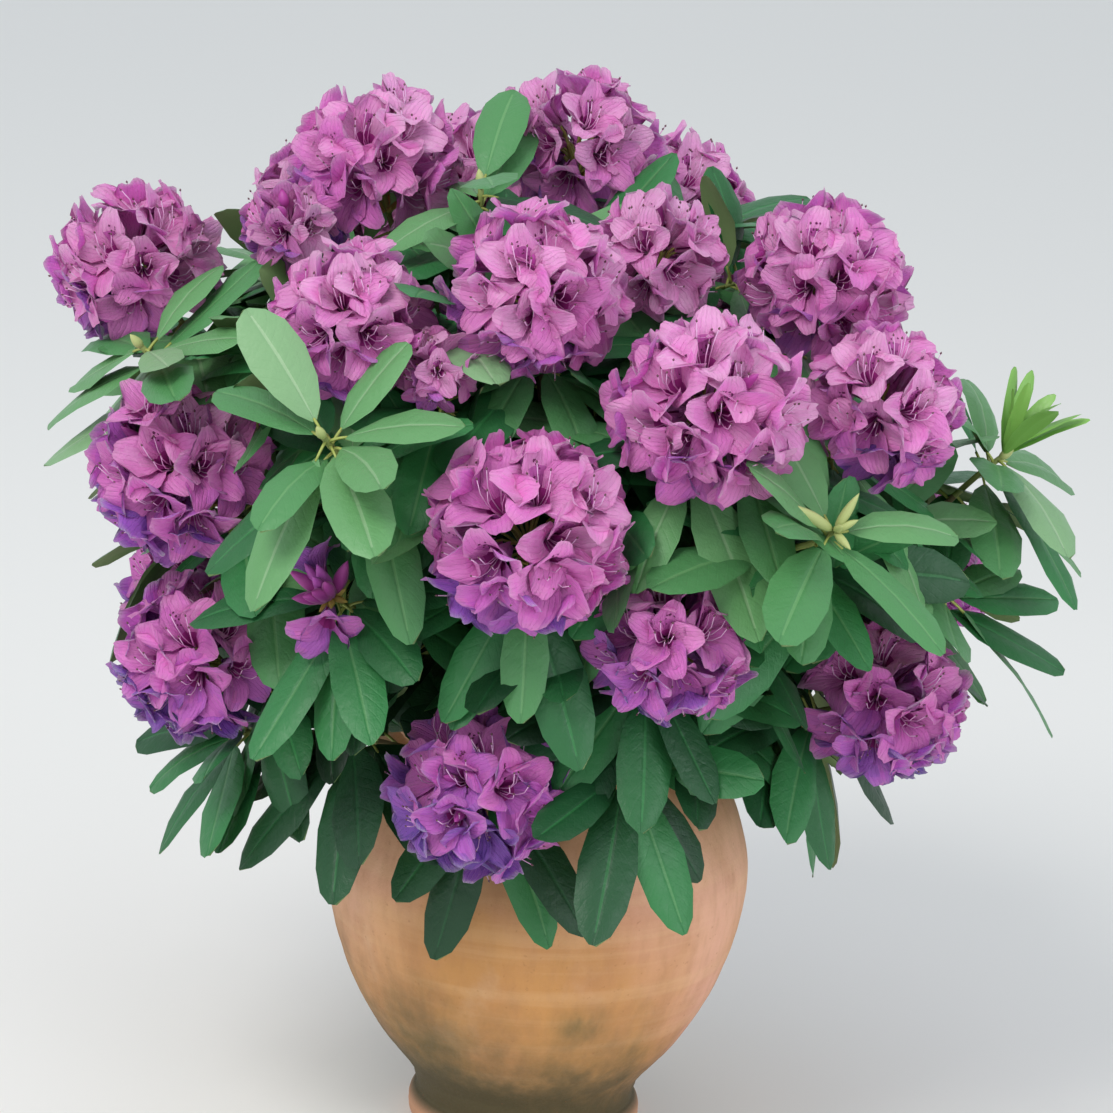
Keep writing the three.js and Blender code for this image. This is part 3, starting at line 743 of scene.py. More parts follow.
def lay_dirt(tree, colour, across, height):
    """Algae and dirt towards the foot, more of them at the left, a wet band below and a clean foot rim.
    Streaks and crumbs shift the height where each begins."""
    streaks = noise_at(tree, 15.0, stretch=(1, 1, 0.3), shift=(9, 4, 1))
    crumbs = noise_at(tree, 65.0, stretch=(1, 1, 0.7), detail=7.0, shift=(4, 9, 9))
    low = plus(tree, height, times(tree, streaks, 0.16))
    low = plus(tree, low, times(tree, across, 0.22))
    low = plus(tree, low, times(tree, crumbs, 0.07))
    colour = lay(tree, colour, times(tree, mask_of(tree, low, 0.295, 0.145), 0.92), "5c5434")
    wet = plus(tree, height, times(tree, streaks, 0.06))
    wet = plus(tree, wet, times(tree, crumbs, 0.05))
    colour = lay(tree, colour, times(tree, mask_of(tree, wet, 0.155, 0.095), 0.75), "453e25")
    foot = mask_of(tree, height, 0.026, 0.014)
    return lay(tree, colour, times(tree, foot, 0.75), "d9a07c")


def lay_stain(tree, colour, across, depth, height):
    """The dark stain on the jar's front: a soft patch, broken up by noise."""
    beside = absolute(tree, less(tree, across, STAIN["across"]))
    above = absolute(tree, less(tree, height, STAIN["height"]))
    patch = times(tree, mask_of(tree, beside, STAIN["wide"], 0.0), mask_of(tree, above, STAIN["tall"], 0.0))
    patch = times(tree, patch, mask_of(tree, depth, 0.0, -0.05))
    grime = mask_of(tree, noise_at(tree, 42.0, (1, 1, 0.3), detail=3.0, shift=(1, 8, 3)), 0.2, 0.72)
    return lay(tree, colour, times(tree, patch, grime), "5f5a38")


def terracotta(group):
    """The jar's clay with its dirt, its stain and fine dark specks."""
    material = finish_of("terracotta", linear("d39d6c"), group, 420.0, (0.66, 0.88), 0.0003)
    tree = material.node_tree
    place = node(tree, "ShaderNodeTexCoord")
    split = node(tree, "ShaderNodeSeparateXYZ")
    tree.links.new(place.outputs["Object"], split.inputs[0])
    across, depth, height = [split.outputs[axis] for axis in "XYZ"]
    colour = clay_tones(tree, across, height)
    colour = lay_dirt(tree, colour, across, height)
    colour = lay_stain(tree, colour, across, depth, height)
    speck = mask_of(tree, noise_at(tree, 210.0, detail=2.0), 0.66, 0.76)
    colour = lay(tree, colour, times(tree, speck, 0.3), "99653f")
    tree.links.new(colour, tree.nodes["Principled BSDF"].inputs["Base Color"])
    return material


def bark_brown(group):
    """Grey brown bark, furrowed along the limb, with greener young skin in patches."""
    material = finish_of("bark", linear("6b5641"), group, 520.0, (0.8, 0.97), 0.0006)
    tree = material.node_tree
    furrow = mask_of(tree, noise_at(tree, 120.0, stretch=(1, 1, 0.3)), 0.36, 0.62)
    colour = lay(tree, linear("3d2f24"), furrow, "8a7357")
    moss = mask_of(tree, noise_at(tree, 30.0, shift=(2, 2, 2)), 0.54, 0.7)
    colour = lay(tree, colour, times(tree, moss, 0.4), "66694a")
    tree.links.new(colour, tree.nodes["Principled BSDF"].inputs["Base Color"])
    return material


def petal_finishes(group):
    """The petals' tints, which carry the flowers' painted light and shade, then the throat's painted shade,
    freckles, buds, stamens, stalks and scales.
    """
    veined = petal_group(group)
    tints = [
        finish_of(f"petal_{i}", colour, veined, 230.0, (0.5, 0.66), 0.0011, Sheen_Weight=0.16,
                  Sheen_Roughness=0.4, Specular_IOR_Level=0.35, Subsurface_Weight=0.4,
                  Subsurface_Radius=(0.006, 0.003, 0.006), Subsurface_Scale=1.0)
        for i, colour in enumerate(ramp_of(PETAL_CODES, PETAL_TONES))
    ]
    return tints + [
        finish_of("throat_shade", linear("a32f86"), group, 700.0, (0.5, 0.65), 0.0001),
        finish_of("fleck", linear("661a50"), group, 700.0, (0.5, 0.65), 0.0001),
        finish_of("blotch", linear("b858a4"), veined, 230.0, (0.5, 0.66), 0.0011),
        finish_of("bud_magenta", linear("b0409a"), group, 600.0, (0.42, 0.6), 0.0001, Sheen_Weight=0.2),
        finish_of("filament", linear("e6b7dc"), group, 700.0, (0.4, 0.55), 0.0001),
        finish_of("anther", linear("6d4a52"), group, 700.0, (0.6, 0.8), 0.0001),
        finish_of("flower_stalk", linear("9aa04e"), group, 500.0, (0.45, 0.6), 0.0001),
        finish_of("bud_scale", linear("c4ac55"), group, 500.0, (0.55, 0.75), 0.0002),
    ]


def leaf_finishes(group):
    """The leaves' tints, then their underside and new leaves."""
    blade = blade_group(group)
    tints = [
        finish_of(f"leaf_{i}", colour, blade, 110.0, (0.38, 0.54), 0.0012,
                  Specular_IOR_Level=0.4, Coat_Weight=0.08, Coat_Roughness=0.5)
        for i, colour in enumerate(ramp_of(LEAF_CODES, LEAF_TONES))
    ]
    return tints + [
        finish_of("leaf_underside", linear("7f9a62"), group, 400.0, (0.62, 0.8), 0.0002),
        finish_of("young_leaf", linear("7db052"), group, 400.0, (0.35, 0.5), 0.0002),
    ]


def make_finishes():
    """Every material of the plant, its soil and its jar."""
    group = surface_group()
    FINISHES["petals"] = petal_finishes(group)
    FINISHES["leaves"] = leaf_finishes(group)
    FINISHES["twigs"] = [
        finish_of("twig_bark", linear("6f6043"), group, 500.0, (0.7, 0.9), 0.0004),
        finish_of("green_twig", linear("7d8a46"), group, 500.0, (0.5, 0.7), 0.0002),
        finish_of("leaf_stalk", linear("a3ad58"), group, 500.0, (0.4, 0.6), 0.0001),
        finish_of("resting_bud", linear("b2bb78"), group, 500.0, (0.5, 0.7), 0.0002),
    ]
    FINISHES["jar"] = [terracotta(group)]
    FINISHES["bark"] = [bark_brown(group)]
    FINISHES["soil"] = [
        finish_of("potting_soil", linear("3b2a1d"), group, 240.0, (0.9, 1.0), 0.002),
        finish_of("bark_chip", linear("5e452e"), group, 240.0, (0.85, 1.0), 0.001),
    ]


# The jar and its soil

def add_turned(heap, profile, sides, relief):
    """A closed turned body: a profile of half-width and height carried round the axis, moved by its
    relief, and ended on the axis by two points."""
    angle = np.arange(sides) * TAU / sides
    radius, height = profile.T[:, :, None]
    rings = relief(np.stack([radius * np.sin(angle), -radius * np.cos(angle), height + 0 * angle], axis=-1))
    ends = [np.array([[0, 0, rings[i, :, 2].mean()]]) for i in (0, -1)]
    add_rings(heap, rings[None], 0, *ends)


def thrown(rings):
    """The wheel's marks on the outside: fine rings, a few cut grooves and a slight wander out of round."""
    radius = np.linalg.norm(rings[..., :2], axis=-1, keepdims=True)
    height = rings[..., 2:]
    drift = THROWN["drift"] * ripple(rings * (1, 1, 0.4), 60 * MM, 5)[..., None]
    marks = np.sin(height * TAU / THROWN["pitch"] + 1.7 * ripple(height * UP, 70 * MM, 3)[..., None])
    depth = THROWN["depth"] * marks * (0.6 + 0.4 * ripple(height * UP, 40 * MM, 9)[..., None])
    for groove in GROOVES:
        depth = depth - THROWN["groove"] * np.exp(-((height - groove) / THROWN["groove_width"]) ** 2)
    outside = smooth_step(80 * MM, 88 * MM, radius) * smooth_step(2 * MM, 8 * MM, height)
    wide = 1 + (depth + drift) * outside / np.maximum(radius, MM)
    return rings * np.concatenate([wide, wide, np.ones_like(wide)], axis=-1)


def make_jar():
    """The jar as one turned body, with the wall's inside behind its outside."""
    outside = smooth_profile(JAR_OUTSIDE, JAR_STEPS["outside"])
    inside = smooth_profile(JAR_INSIDE, JAR_STEPS["inside"])
    profile = np.vstack([[(2, 0), (60, 0)], outside, inside, [(40, JAR_FLOOR), (2, JAR_FLOOR)]]) * MM
    heap = Heap()
    add_turned(heap, profile, JAR_SIDES, thrown)
    heap.piece("jar_turned", FINISHES["jar"], "terracotta", ["jar"])


def lumpy(rings):
    """Crumbs and hollows on top of the soil only."""
    top = smooth_step(SOIL["edge"] - 6 * MM, SOIL["edge"], rings[..., 2])
    coarse = ripple(rings, 26 * MM, 11)
    fine = ripple(rings, 7 * MM, 12)
    rings = rings.copy()
    rings[..., 2] += top * SOIL["lump"] * (coarse * 0.8 + fine * 0.6 - 1.2)
    return rings


def make_soil():
    """Moist potting soil that fills the jar, with a scatter of bark chips."""
    bottom = JAR_FLOOR + SOIL["inset"] / MM
    walls = [(r - SOIL["inset"] / MM, max(z, bottom)) for r, z in JAR_INSIDE[:1:-1]]
    level, edge, flat, wide = [SOIL[name] / MM for name in ("level", "edge", "flat", "wide")]
    out = np.arange(wide - 1, 0, -4)
    top = np.stack([out, lerp(level, edge, smooth_step(flat, wide, out))], axis=-1)
    profile = np.array([(2, bottom), (40, bottom), *walls, (wide + 0.5, edge - 0.5), *top, (1, level)]) * MM
    heap = Heap()
    add_turned(heap, profile, SOIL["sides"], lumpy)
    draw = np.random.default_rng(SEED + 1)
    count = CHIPS["count"]
    out = np.sqrt(draw.uniform(0.06, 1, count)) * CHIPS["spread"]
    turn = draw.uniform(0, 360, count)
    foot = around(turn, out, SOIL["level"] - CHIPS["sunk"] - 0 * out).T
    way = unit(draw.normal(size=(count, 3)) * (1, 1, 0.25))
    length = draw.uniform(*CHIPS["length"], count)[:, None] * MM
    paths = foot[:, None] + way[:, None] * length[:, None] * CHIPS["along"][:, None]
    paths[..., 2] = np.maximum(paths[..., 2], foot[:, None, 2])
    add_tubes(heap, paths, length * CHIPS["radii"], 5, 1)
    heap.piece("soil_surface", FINISHES["soil"], "soil", ["soil"])


# How the plant grows

def trunk_point(share):
    """A point of the trunk's centre line, at a share of its way through four stations."""
    lean = np.array(TRUNK["lean"])
    stations = [(0, 0, GROUND)]
    stations += [(*(lean * (x, y)), SOIL["level"] + over) for x, y, over in TRUNK_BENDS]
    stations += [(*lean, TRUNK_TOP)]
    curve = smooth_profile(stations, 16)
    even = np.linspace(0, 1, len(curve))
    return np.stack([np.interp(share, even, curve[:, k]) for k in range(3)], axis=-1)


def shoot_of(kind, turn, out, up, diameter):
    """Where a shoot is, where its twig ends and which way it points."""
    place = around(turn, out * MM, up * MM)
    axis = unit(place - SPRING)
    return {
        "kind": kind, "place": place, "axis": axis, "diameter": diameter * MM,
        "end": place - axis * SEAT * diameter * MM,
    }


def ring_masses(name, ring):
    """The masses of a ring at the back. Each shoot sways by -2 to 2 steps from the even ring."""
    masses = {}
    for i in range(ring["count"]):
        turn = ring["first"] + i * ring["step"]
        sway = i * 3 % 5 - 2
        out = ring["out"] + sway * BACK_SHOOT["sway_out"]
        fallen = ring["up"] - ring["fall"] * ring["out"] * np.sin(np.radians(turn))
        up = fallen + sway * BACK_SHOOT["sway_up"]
        diameter = BACK_SHOOT["diameter"] + sway * BACK_SHOOT["sway_diameter"]
        kind = "leafy" if i == ring["leafy"] else "truss"
        number = i // 2 + 1
        leaves = ring["leaves"] + number * BACK_SHOOT["leaves_apart"]
        mass = masses.setdefault(f"{name}_{number}", (leaves, []))
        mass[1].append((kind, turn, out, up, diameter if kind == "truss" else 0))
    return masses


def grow_limbs():
    """For each mass its shoots, its bough's curve, its stem's end and a curved twig to each shoot."""
    rows = dict(MASSES)
    for name, ring in BACK_RINGS.items():
        rows.update(ring_masses(name, ring))
    masses = []
    for name, (leaves, shoots) in rows.items():
        shoots = [shoot_of(*shoot) for shoot in shoots]
        goal = np.mean([shoot["end"] for shoot in shoots], axis=0)
        root = trunk_point((leaves * MM - GROUND) / (TRUNK_TOP - GROUND))
        tip = lerp(root, goal, BOUGH["reach"])
        middle = lerp(root, tip, 0.5) + UP * BOUGH["bow"]
        heading = unit(tip - middle)
        fork = tip + heading * np.linalg.norm(goal - tip) * STEM["share"]
        twigs = []
        for shoot in shoots:
            bend = np.linalg.norm(shoot["end"] - fork) * TWIG["bend"]
            twigs.append([fork, fork + heading * bend, shoot["end"] - shoot["axis"] * bend, shoot["end"]])
        masses.append({
            "name": name, "shoots": shoots, "bough": np.array([root, middle, tip]), "fork": fork,
            "heading": heading, "twigs": np.array(twigs),
        })
    return masses


def make_limbs(masses):
    """Trunk, boughs and the stems that go on from them as one mesh with the bark's relief: knobs, and
    furrows that run along the limb."""
    heap = Heap()
    share = np.linspace(0, 1, LIMB_STEPS["trunk"])
    spread = (TRUNK["foot"] - TRUNK["root"]) * (1 - share) ** FLARE_POWER
    radii = lerp(TRUNK["root"], TRUNK["fork"], share) + spread
    path = trunk_point(share)
    dome = np.linspace(0.3, 1.4, LIMB_STEPS["cap"])
    cap = path[-1] + UP * TRUNK["fork"] * np.sin(dome)[:, None]
    path = np.vstack([path, cap])[None]
    radii = np.concatenate([radii, TRUNK["fork"] * np.cos(dome)])[None]
    add_bark(heap, path, radii, LIMB_SIDES["trunk"])
    boughs = pulled_curve(np.array([mass["bough"] for mass in masses]), LIMB_STEPS["bough"])
    forks = np.array([mass["fork"] for mass in masses])[:, None]
    stems = lerp(boughs[:, -1:], forks, np.linspace(0, 1, LIMB_STEPS["stem"])[1:, None])
    paths = np.concatenate([boughs, stems], axis=1)
    radii = np.concatenate([
        np.linspace(BOUGH["root"], BOUGH["tip"], LIMB_STEPS["bough"]),
        np.linspace(BOUGH["tip"], STEM["tip"], LIMB_STEPS["stem"])[1:],
    ])
    add_bark(heap, paths, np.broadcast_to(radii, paths.shape[:2]), LIMB_SIDES["bough"])
    nodes = ["trunk"] + [f"bough_{mass['name']}" for mass in masses]
    heap.piece("bark_limbs", FINISHES["bark"], "bark", nodes)


def add_bark(heap, paths, radii, sides):
    """Round limbs whose skin stands in and out by a share of their radius."""
    rings = tube_points(paths, radii, sides)
    centre = paths[:, :, None]
    knobs = ripple(rings, BARK["knobs"], 21) * BARK["knob"]
    furrows = ripple(rings * (1, 1, 0.35), BARK["furrows"], 22) * BARK["furrow"]
    level = smooth_step(GROUND, GROUND + 4 * MM, rings[..., 2])
    rings = centre + (rings - centre) * (1 + (knobs + furrows) * level)[..., None]
    rings[..., 2] = np.maximum(rings[..., 2], GROUND)
    add_rings(heap, rings, 0, paths[:, 0], paths[:, -1])


# Flowers

def place_trusses(masses):
    """The ball of each open truss: its own size where it has room, the largest towards the viewer first,
    and smaller where an earlier one is in its way."""
    blooms = []
    for i, mass in enumerate(masses):
        blooms += [(i >= len(MASSES), -shoot["diameter"], i, shoot) for shoot in mass["shoots"]]
    balls = []
    for _, _, _, shoot in sorted(blooms, key=lambda bloom: bloom[:3]):
        if shoot["kind"] == "bud":
            shoot["centre"], shoot["radius"] = shoot["place"], shoot["diameter"] / 2
        if shoot["kind"] != "truss":
            continue
        for share in TRUSS_SHARES:
            radius = shoot["diameter"] / 2 * share
            centre = shoot["end"] + shoot["axis"] * radius * SEAT * 2
            clear = [
                np.linalg.norm(centre - other) > TRUSSES_APART * (radius + wide) for other, wide in balls
            ]
            if all(clear):
                break
        balls.append((centre, radius))
        shoot["centre"], shoot["radius"] = centre, radius


def flower_stand(shoot, draw):
    """Foot, axis, side that faces up and size of each flower of a truss. Their axes follow a golden
    spiral from the ball's crown to below its waist, and hang a little where they stand out sideways."""
    radius = shoot["radius"]
    count = round(FLOWERS * (radius / TRUSS_RADIUS) ** 1.2)
    number = np.arange(count) + 0.5
    tilt = np.degrees(np.arccos(lerp(*STAND["cosines"], number / count)))
    tilt = tilt + draw.uniform(-STAND["tilt"], STAND["tilt"], count)
    turn = number * GOLDEN_TURN + draw.uniform(0, 360)
    axis = leaning(np.tile(shoot["axis"], (count, 1)), tilt, turn)
    hang = STAND["hang"] * (1 - np.abs(axis[:, 2:]))
    heading = unit(axis - UP * hang + draw.normal(0, STAND["aim"], (count, 3)))
    size = (radius / TRUSS_RADIUS) ** 0.6 * draw.uniform(*STAND["size"], count)
    reach = np.sqrt(np.maximum(radius ** 2 - (RIM * size) ** 2, 0)) - DEPTH * size
    reach = reach + draw.normal(-1, 3, count) * MM
    foot = shoot["centre"] + axis * np.maximum(reach, 4 * MM)[:, None]
    above = UP + shoot["axis"] * 0.3 + draw.normal(0, 0.12, (count, 3))
    above = unit(above - heading * (above * heading).sum(-1, keepdims=True))
    return foot, heading, above, size


def petal_curves(bend):
    """Slope, distance from the flower's axis and height above its foot along each petal: the slope is
    the flower's own and the petal's bend towards its end, and the others are the running sums of the
    slope's sine and cosine."""
    share = np.linspace(0, 1, 41)
    slope = np.interp(share, FLOWER["stations"], FLOWER["slope"])
    slope = np.radians(slope + bend[:, None] * smooth_step(0.35, 0.9, share))
    middle = (slope[:, 1:] + slope[:, :-1]) / 2
    step = FLOWER["length"] / 40
    none = np.zeros((len(bend), 1))
    out = FLOWER["foot"] + step * np.cumsum(np.hstack([none, np.sin(middle)]), axis=1)
    height = step * np.cumsum(np.hstack([none, np.cos(middle)]), axis=1)
    return slope, out, height


def along_rows(table, share):
    """Each petal's own row of a table, read at shares [petal, ...] of its length."""
    place = np.clip(share, 0, 1) * (table.shape[1] - 1)
    low = np.minimum(place.astype(int), table.shape[1] - 2).reshape(len(table), -1)
    before = np.take_along_axis(table, low, 1).reshape(share.shape)
    after = np.take_along_axis(table, low + 1, 1).reshape(share.shape)
    return lerp(before, after, place - low.reshape(share.shape))


def petal_points(petals, along, across):
    """Points on the petals' inner faces at shares [petal, ...] along and, from -1 to 1, across. A point
    stands off the flower's axis by the radius there, turned from the petal's middle by its share across
    times half-width over radius. The end is rounded by the square of the share across, the edges ruffle
    as sines of the way along, a groove runs up the middle, and one edge lies over the next petal."""
    spread = (slice(None),) + (None,) * (along.ndim - 1)
    notch = 0.04 * np.exp(-(across / 0.22) ** 2) * smooth_step(0.7, 1, along)
    place = along * (1 - 0.2 * across ** 2 * smooth_step(0.3, 1, along) - notch)
    slope, out, height = [along_rows(table, place) for table in petals["curves"]]
    phase = [p[spread] for p in petals["phases"]]
    width = np.interp(along, FLOWER["stations"], FLOWER["half_width"]) * MM
    width = width * petals["breadth"][spread]
    turn = petals["azimuth"][spread] + across * width / out
    edge = np.abs(across) ** 1.5 * smooth_step(0.5, 0.92, along)
    waves = np.sin(TAU * 2.6 * along + phase[0] + 1.7 * np.sign(across)) * edge
    lip = np.sin(3.1 * across + phase[1]) + 0.7 * np.sin(6.3 * across + phase[2])
    lip = lip * smooth_step(0.6, 1, along)
    groove = np.exp(-(across / 0.3) ** 2) * smooth_step(0.12, 0.5, along)
    off = FRILL["ruffle"] * waves + FRILL["lip"] * lip - FRILL["groove"] * groove + FRILL["lap"] * across
    above, aside, axis = [petals[name][spread] for name in ("above", "aside", "axis")]
    ray = np.cos(turn)[..., None] * above + np.sin(turn)[..., None] * aside
    inner = np.sin(slope)[..., None] * axis - np.cos(slope)[..., None] * ray
    local = out[..., None] * ray + height[..., None] * axis + off[..., None] * inner
    return petals["foot"][spread] + petals["size"][spread][..., None] * local


def petals_of(foot, axis, above, size, draw):
    """Five petals for each flower. The upper ones stand up straighter and the lower ones roll back."""
    flowers = len(foot)
    azimuth = np.tile(np.arange(LOBES) * TAU / LOBES, flowers)
    azimuth = azimuth + draw.normal(0, PETAL_SWAY["turn"], flowers * LOBES)
    bend = draw.normal(0, PETAL_SWAY["bend"], flowers * LOBES) - PETAL_SWAY["upright"] * np.cos(azimuth)
    petals = {
        "foot": foot, "axis": axis, "above": above, "aside": np.cross(axis, above), "size": size,
    }
    petals = {name: np.repeat(values, LOBES, axis=0) for name, values in petals.items()}
    petals["azimuth"] = azimuth
    petals["breadth"] = draw.uniform(*PETAL_SWAY["breadth"], flowers * LOBES)
    petals["phases"] = draw.uniform(0, TAU, (3, flowers * LOBES))
    petals["curves"] = petal_curves(bend)
    return petals


def add_petals(heap, petals, depth, draw):
    """The petals as thin closed shells. A face's tint goes by its flower's depth of colour, and is deeper on
    the backs, deeper in the throat and at hanging petals as painted shade, and paler along the middle of a
    petal. The upper petal of each flower has a rosier blotch."""
    count = len(petals["foot"])
    along = PETAL_ROWS[:, None] + np.zeros(LOBE_COLUMNS)
    across = np.linspace(1, -1, LOBE_COLUMNS) + np.zeros(along.shape)
    along, across = [np.broadcast_to(grid, (count, *grid.shape)) for grid in (along, across)]
    sheets = petal_points(petals, along, across)
    thick = (FLOWER["thick"] * petals["size"])[:, None, None, None]
    way = (along[:, 1:, 1:] + along[:, :-1, :-1]) / 2
    side = np.abs(across[:, 1:, 1:] + across[:, :-1, :-1]) / 2
    centre = sheets[:, 1:, 1:]
    # Painted shade: petals that hang below their flower and the deep throat get deeper tints.
    hanging = smooth_step(-0.1, 1, -np.cos(petals["azimuth"]) * petals["above"][:, 2])[:, None, None]
    tone = depth[:, None, None] + draw.normal(0, PETAL_STRAY["each"], (count, 1, 1))
    tone = tone + PETAL_STRAY["ripple"] * ripple(centre, PETAL_STRAY["size"], 31)
    throat = smooth_step(0.45, 0.1, way)
    front = tone + PART["throat"] * throat + PART["middle"] * (1 - side) + PART["hanging"] * hanging
    back = tone + PART["back"] + PART["edge"] * side
    front, back = [petal_number(values) for values in (front, back)]
    upper = (np.arange(count) % LOBES == 0)[:, None, None]
    front = np.where(upper & (way > 0.35) & (way < 0.7) & (side < 0.4), BLOTCH, front)
    # Painted shade: the deepest faces of the throat take the dark throat colour.
    front = np.where(throat > 0.75, THROAT_SHADE, front)
    add_shells(heap, sheets, thick, front, back, np.stack([across, along, np.ones_like(along)], axis=-1))


def petal_number(depth):
    """The material number of a depth of colour from 0 to 1."""
    return np.clip(np.round(depth * (PETAL_TONES - 1)), 0, PETAL_TONES - 1).astype(int)


def add_flecks(heap, petals, draw):
    """Dark freckles on the upper petal of each flower: flat double fans of four points on the surface."""
    upper = {name: values[::LOBES] for name, values in petals.items() if name not in ("phases", "curves")}
    upper["phases"] = petals["phases"][:, ::LOBES]
    upper["curves"] = [table[::LOBES] for table in petals["curves"]]
    count = len(upper["foot"])
    along = draw.uniform(0.36, 0.72, (count, FLECKS))
    across = draw.uniform(-0.5, 0.5, (count, FLECKS)) * (1.15 - along)
    long, wide = draw.uniform(0.013, 0.026, (2, count, FLECKS))
    ring = np.stack([
        petal_points(upper, along, across - wide * 3), petal_points(upper, along + long, across),
        petal_points(upper, along, across + wide * 3), petal_points(upper, along - long, across),
    ], axis=2)
    add_double_fans(heap, ring.reshape(-1, 4, 3), 0.35 * MM, FLECK)


def add_double_fans(heap, rings, thick, number):
    """Closed bodies from rings of points [body, point, 3]: a point stands off each side of the ring's
    centre by the thickness, and the ring is lifted by half as much."""
    bodies, sides = rings.shape[:2]
    normal = unit(np.cross(rings[:, 0] - rings[:, sides // 2], rings[:, 1] - rings[:, -1]))
    rings = rings + normal[:, None] * thick / 2
    centre = rings.mean(axis=1)
    ends = np.stack([centre + normal * thick, centre - normal * thick], axis=1)
    side = np.arange(sides)
    after = (side + 1) % sides
    top = np.stack([np.full(sides, sides), side, after], axis=-1)
    foot = np.stack([np.full(sides, sides + 1), after, side], axis=-1)
    faces = np.vstack([top, foot])
    heap.add(np.concatenate([rings, ends], axis=1), copies(faces, bodies, sides + 2), number)


def add_stamens(heap, foot, axis, above, size, draw):
    """Threads that spring from the throat, dip, and curve up to an anther each."""
    count = len(foot)
    turn = np.arange(STAMENS) * TAU / STAMENS + draw.uniform(0, TAU, (count, 1))
    aside = np.cross(axis, above)
    ray = np.cos(turn)[..., None] * above[:, None] + np.sin(turn)[..., None] * aside[:, None]
    long = draw.uniform(0.7, 1.0, (count, STAMENS, 1))
    steps = []
    for height, out, rise in STAMEN:
        part = axis[:, None] * height * long + ray * out + above[:, None] * rise
        steps.append(foot[:, None] + part * MM * size[:, None, None])
    paths = np.stack(steps, axis=2).reshape(-1, len(STAMEN), 3)
    add_tubes(heap, paths, STAMEN_RADII, 3, FILAMENT)
    tips = paths[:, -1]
    way = unit(tips - paths[:, -2])
    first, second = crosswise(way)
    ring = np.stack([first, second, -first, -second], axis=1) * 0.95 * MM + tips[:, None]
    add_double_fans(heap, ring, 1.5 * MM, ANTHER)


def add_spindles(heap, foot, heading, length, radius, numbers):
    """Closed buds: tubes whose radius swells to their middle and narrows to a point."""
    share = np.linspace(0, 1, 7)
    profile = np.sin(np.pi * share ** 0.8) ** 0.8 * 0.96 + 0.04
    paths = foot[:, None] + heading[:, None] * (share[:, None] * np.reshape(length, (-1, 1, 1)))
    add_tubes(heap, paths, profile * np.reshape(radius, (-1, 1)), 7, numbers)


def add_truss(heap, shoot, draw):
    """The flowers of one open truss, their stalks, the bud scales at its foot and a few furled buds."""
    foot, axis, above, size = flower_stand(shoot, draw)
    petals = petals_of(foot, axis, above, size, draw)
    # Painted light and shade: flowers of high trusses and on the lit side of their truss are paler, those of
    # low trusses and on its shaded side deeper.
    paler = unit(foot - shoot["centre"]) @ LIT_SIDE
    lit = smooth_step(0.36, 0.85, shoot["centre"][2])
    shaded = smooth_step(0.42, 0.36, shoot["centre"][2])
    depth = TINT["plain"] + TINT["low"] * shaded - TINT["high"] * lit - TINT["paler"] * paler
    depth = depth + TINT["violet"] * smooth_step(-0.15, -0.75, paler)
    depth = depth + draw.normal(0, 0.04) + draw.normal(0, 0.07, len(foot))
    add_petals(heap, petals, np.repeat(depth, LOBES), draw)
    add_flecks(heap, petals, draw)
    add_stamens(heap, foot, axis, above, size, draw)
    rise = draw.uniform(0.1, 0.75, (len(foot), 1))
    base = shoot["end"] + shoot["axis"] * rise * np.linalg.norm(shoot["centre"] - shoot["end"])
    reach = np.linalg.norm(foot - base, axis=1, keepdims=True)
    bend = base + (shoot["axis"] + axis) * reach * 0.25
    corners = np.stack([base, bend, foot - axis * reach * 0.3, foot + axis * 3 * MM], axis=1)
    add_tubes(heap, pulled_curve(corners, 5), STALK_RADII["flower"], 4, STALK)
    core = np.stack([shoot["end"] - shoot["axis"] * 4 * MM, shoot["centre"]])[None]
    add_tubes(heap, pulled_curve(core, 4), STALK_RADII["core"], 6, STALK)
    furled = int(draw.integers(0, 4))
    if furled:
        turn = draw.uniform(0, 360, furled)
        way = leaning(np.tile(shoot["axis"], (furled, 1)), draw.uniform(8, 40, furled), turn)
        start = shoot["centre"] + way * shoot["radius"] * 0.4
        add_spindles(heap, start, way, shoot["radius"] * 0.4, 4.8 * MM, BUD_MAGENTA)
    add_bud_scales(heap, shoot, 5, (25, 80), draw)


def add_bud_scales(heap, shoot, count, tilts, draw):
    """Papery scales that stand out round the end of a shoot."""
    axes = np.tile(shoot["axis"], (count, 1))
    way = leaning(axes, draw.uniform(*tilts, count), np.arange(count) * 360 / count)
    foot = np.tile(shoot["end"], (count, 1))
    add_spindles(heap, foot, way, draw.uniform(14, 25, count) * MM, 2.7 * MM, SCALE)


def add_bud_truss(heap, shoot, draw):
    """A truss that is just opening: a sheaf of furled buds, two flowers half open and scales below."""
    count = OPENING["buds"]
    tilt = np.concatenate([[OPENING["middle"]], draw.uniform(*OPENING["tilt"], count - 1)])
    turn = np.arange(count) * SHEAF_TURN
    way = leaning(np.tile(shoot["axis"], (count, 1)), tilt, turn)
    foot = shoot["end"] + way * 3 * MM
    length = draw.uniform(*OPENING["long"], count) * MM
    numbers = np.where(np.arange(count)[:, None] % 3 > 0, BUD_MAGENTA, PETAL_TONES // 2)
    add_spindles(heap, foot, way, length, OPENING["radius"], numbers)
    add_bud_scales(heap, shoot, 9, (30, 85), draw)
    way = leaning(np.tile(shoot["axis"], (2, 1)), HALF_OPEN["tilt"], HALF_OPEN["turn"])
    above = unit(UP - way * (way @ UP)[:, None])
    foot = shoot["end"] + way * 10 * MM
    add_petals(heap, petals_of(foot, way, above, HALF_OPEN["size"], draw), np.full(2 * LOBES, 0.55), draw)


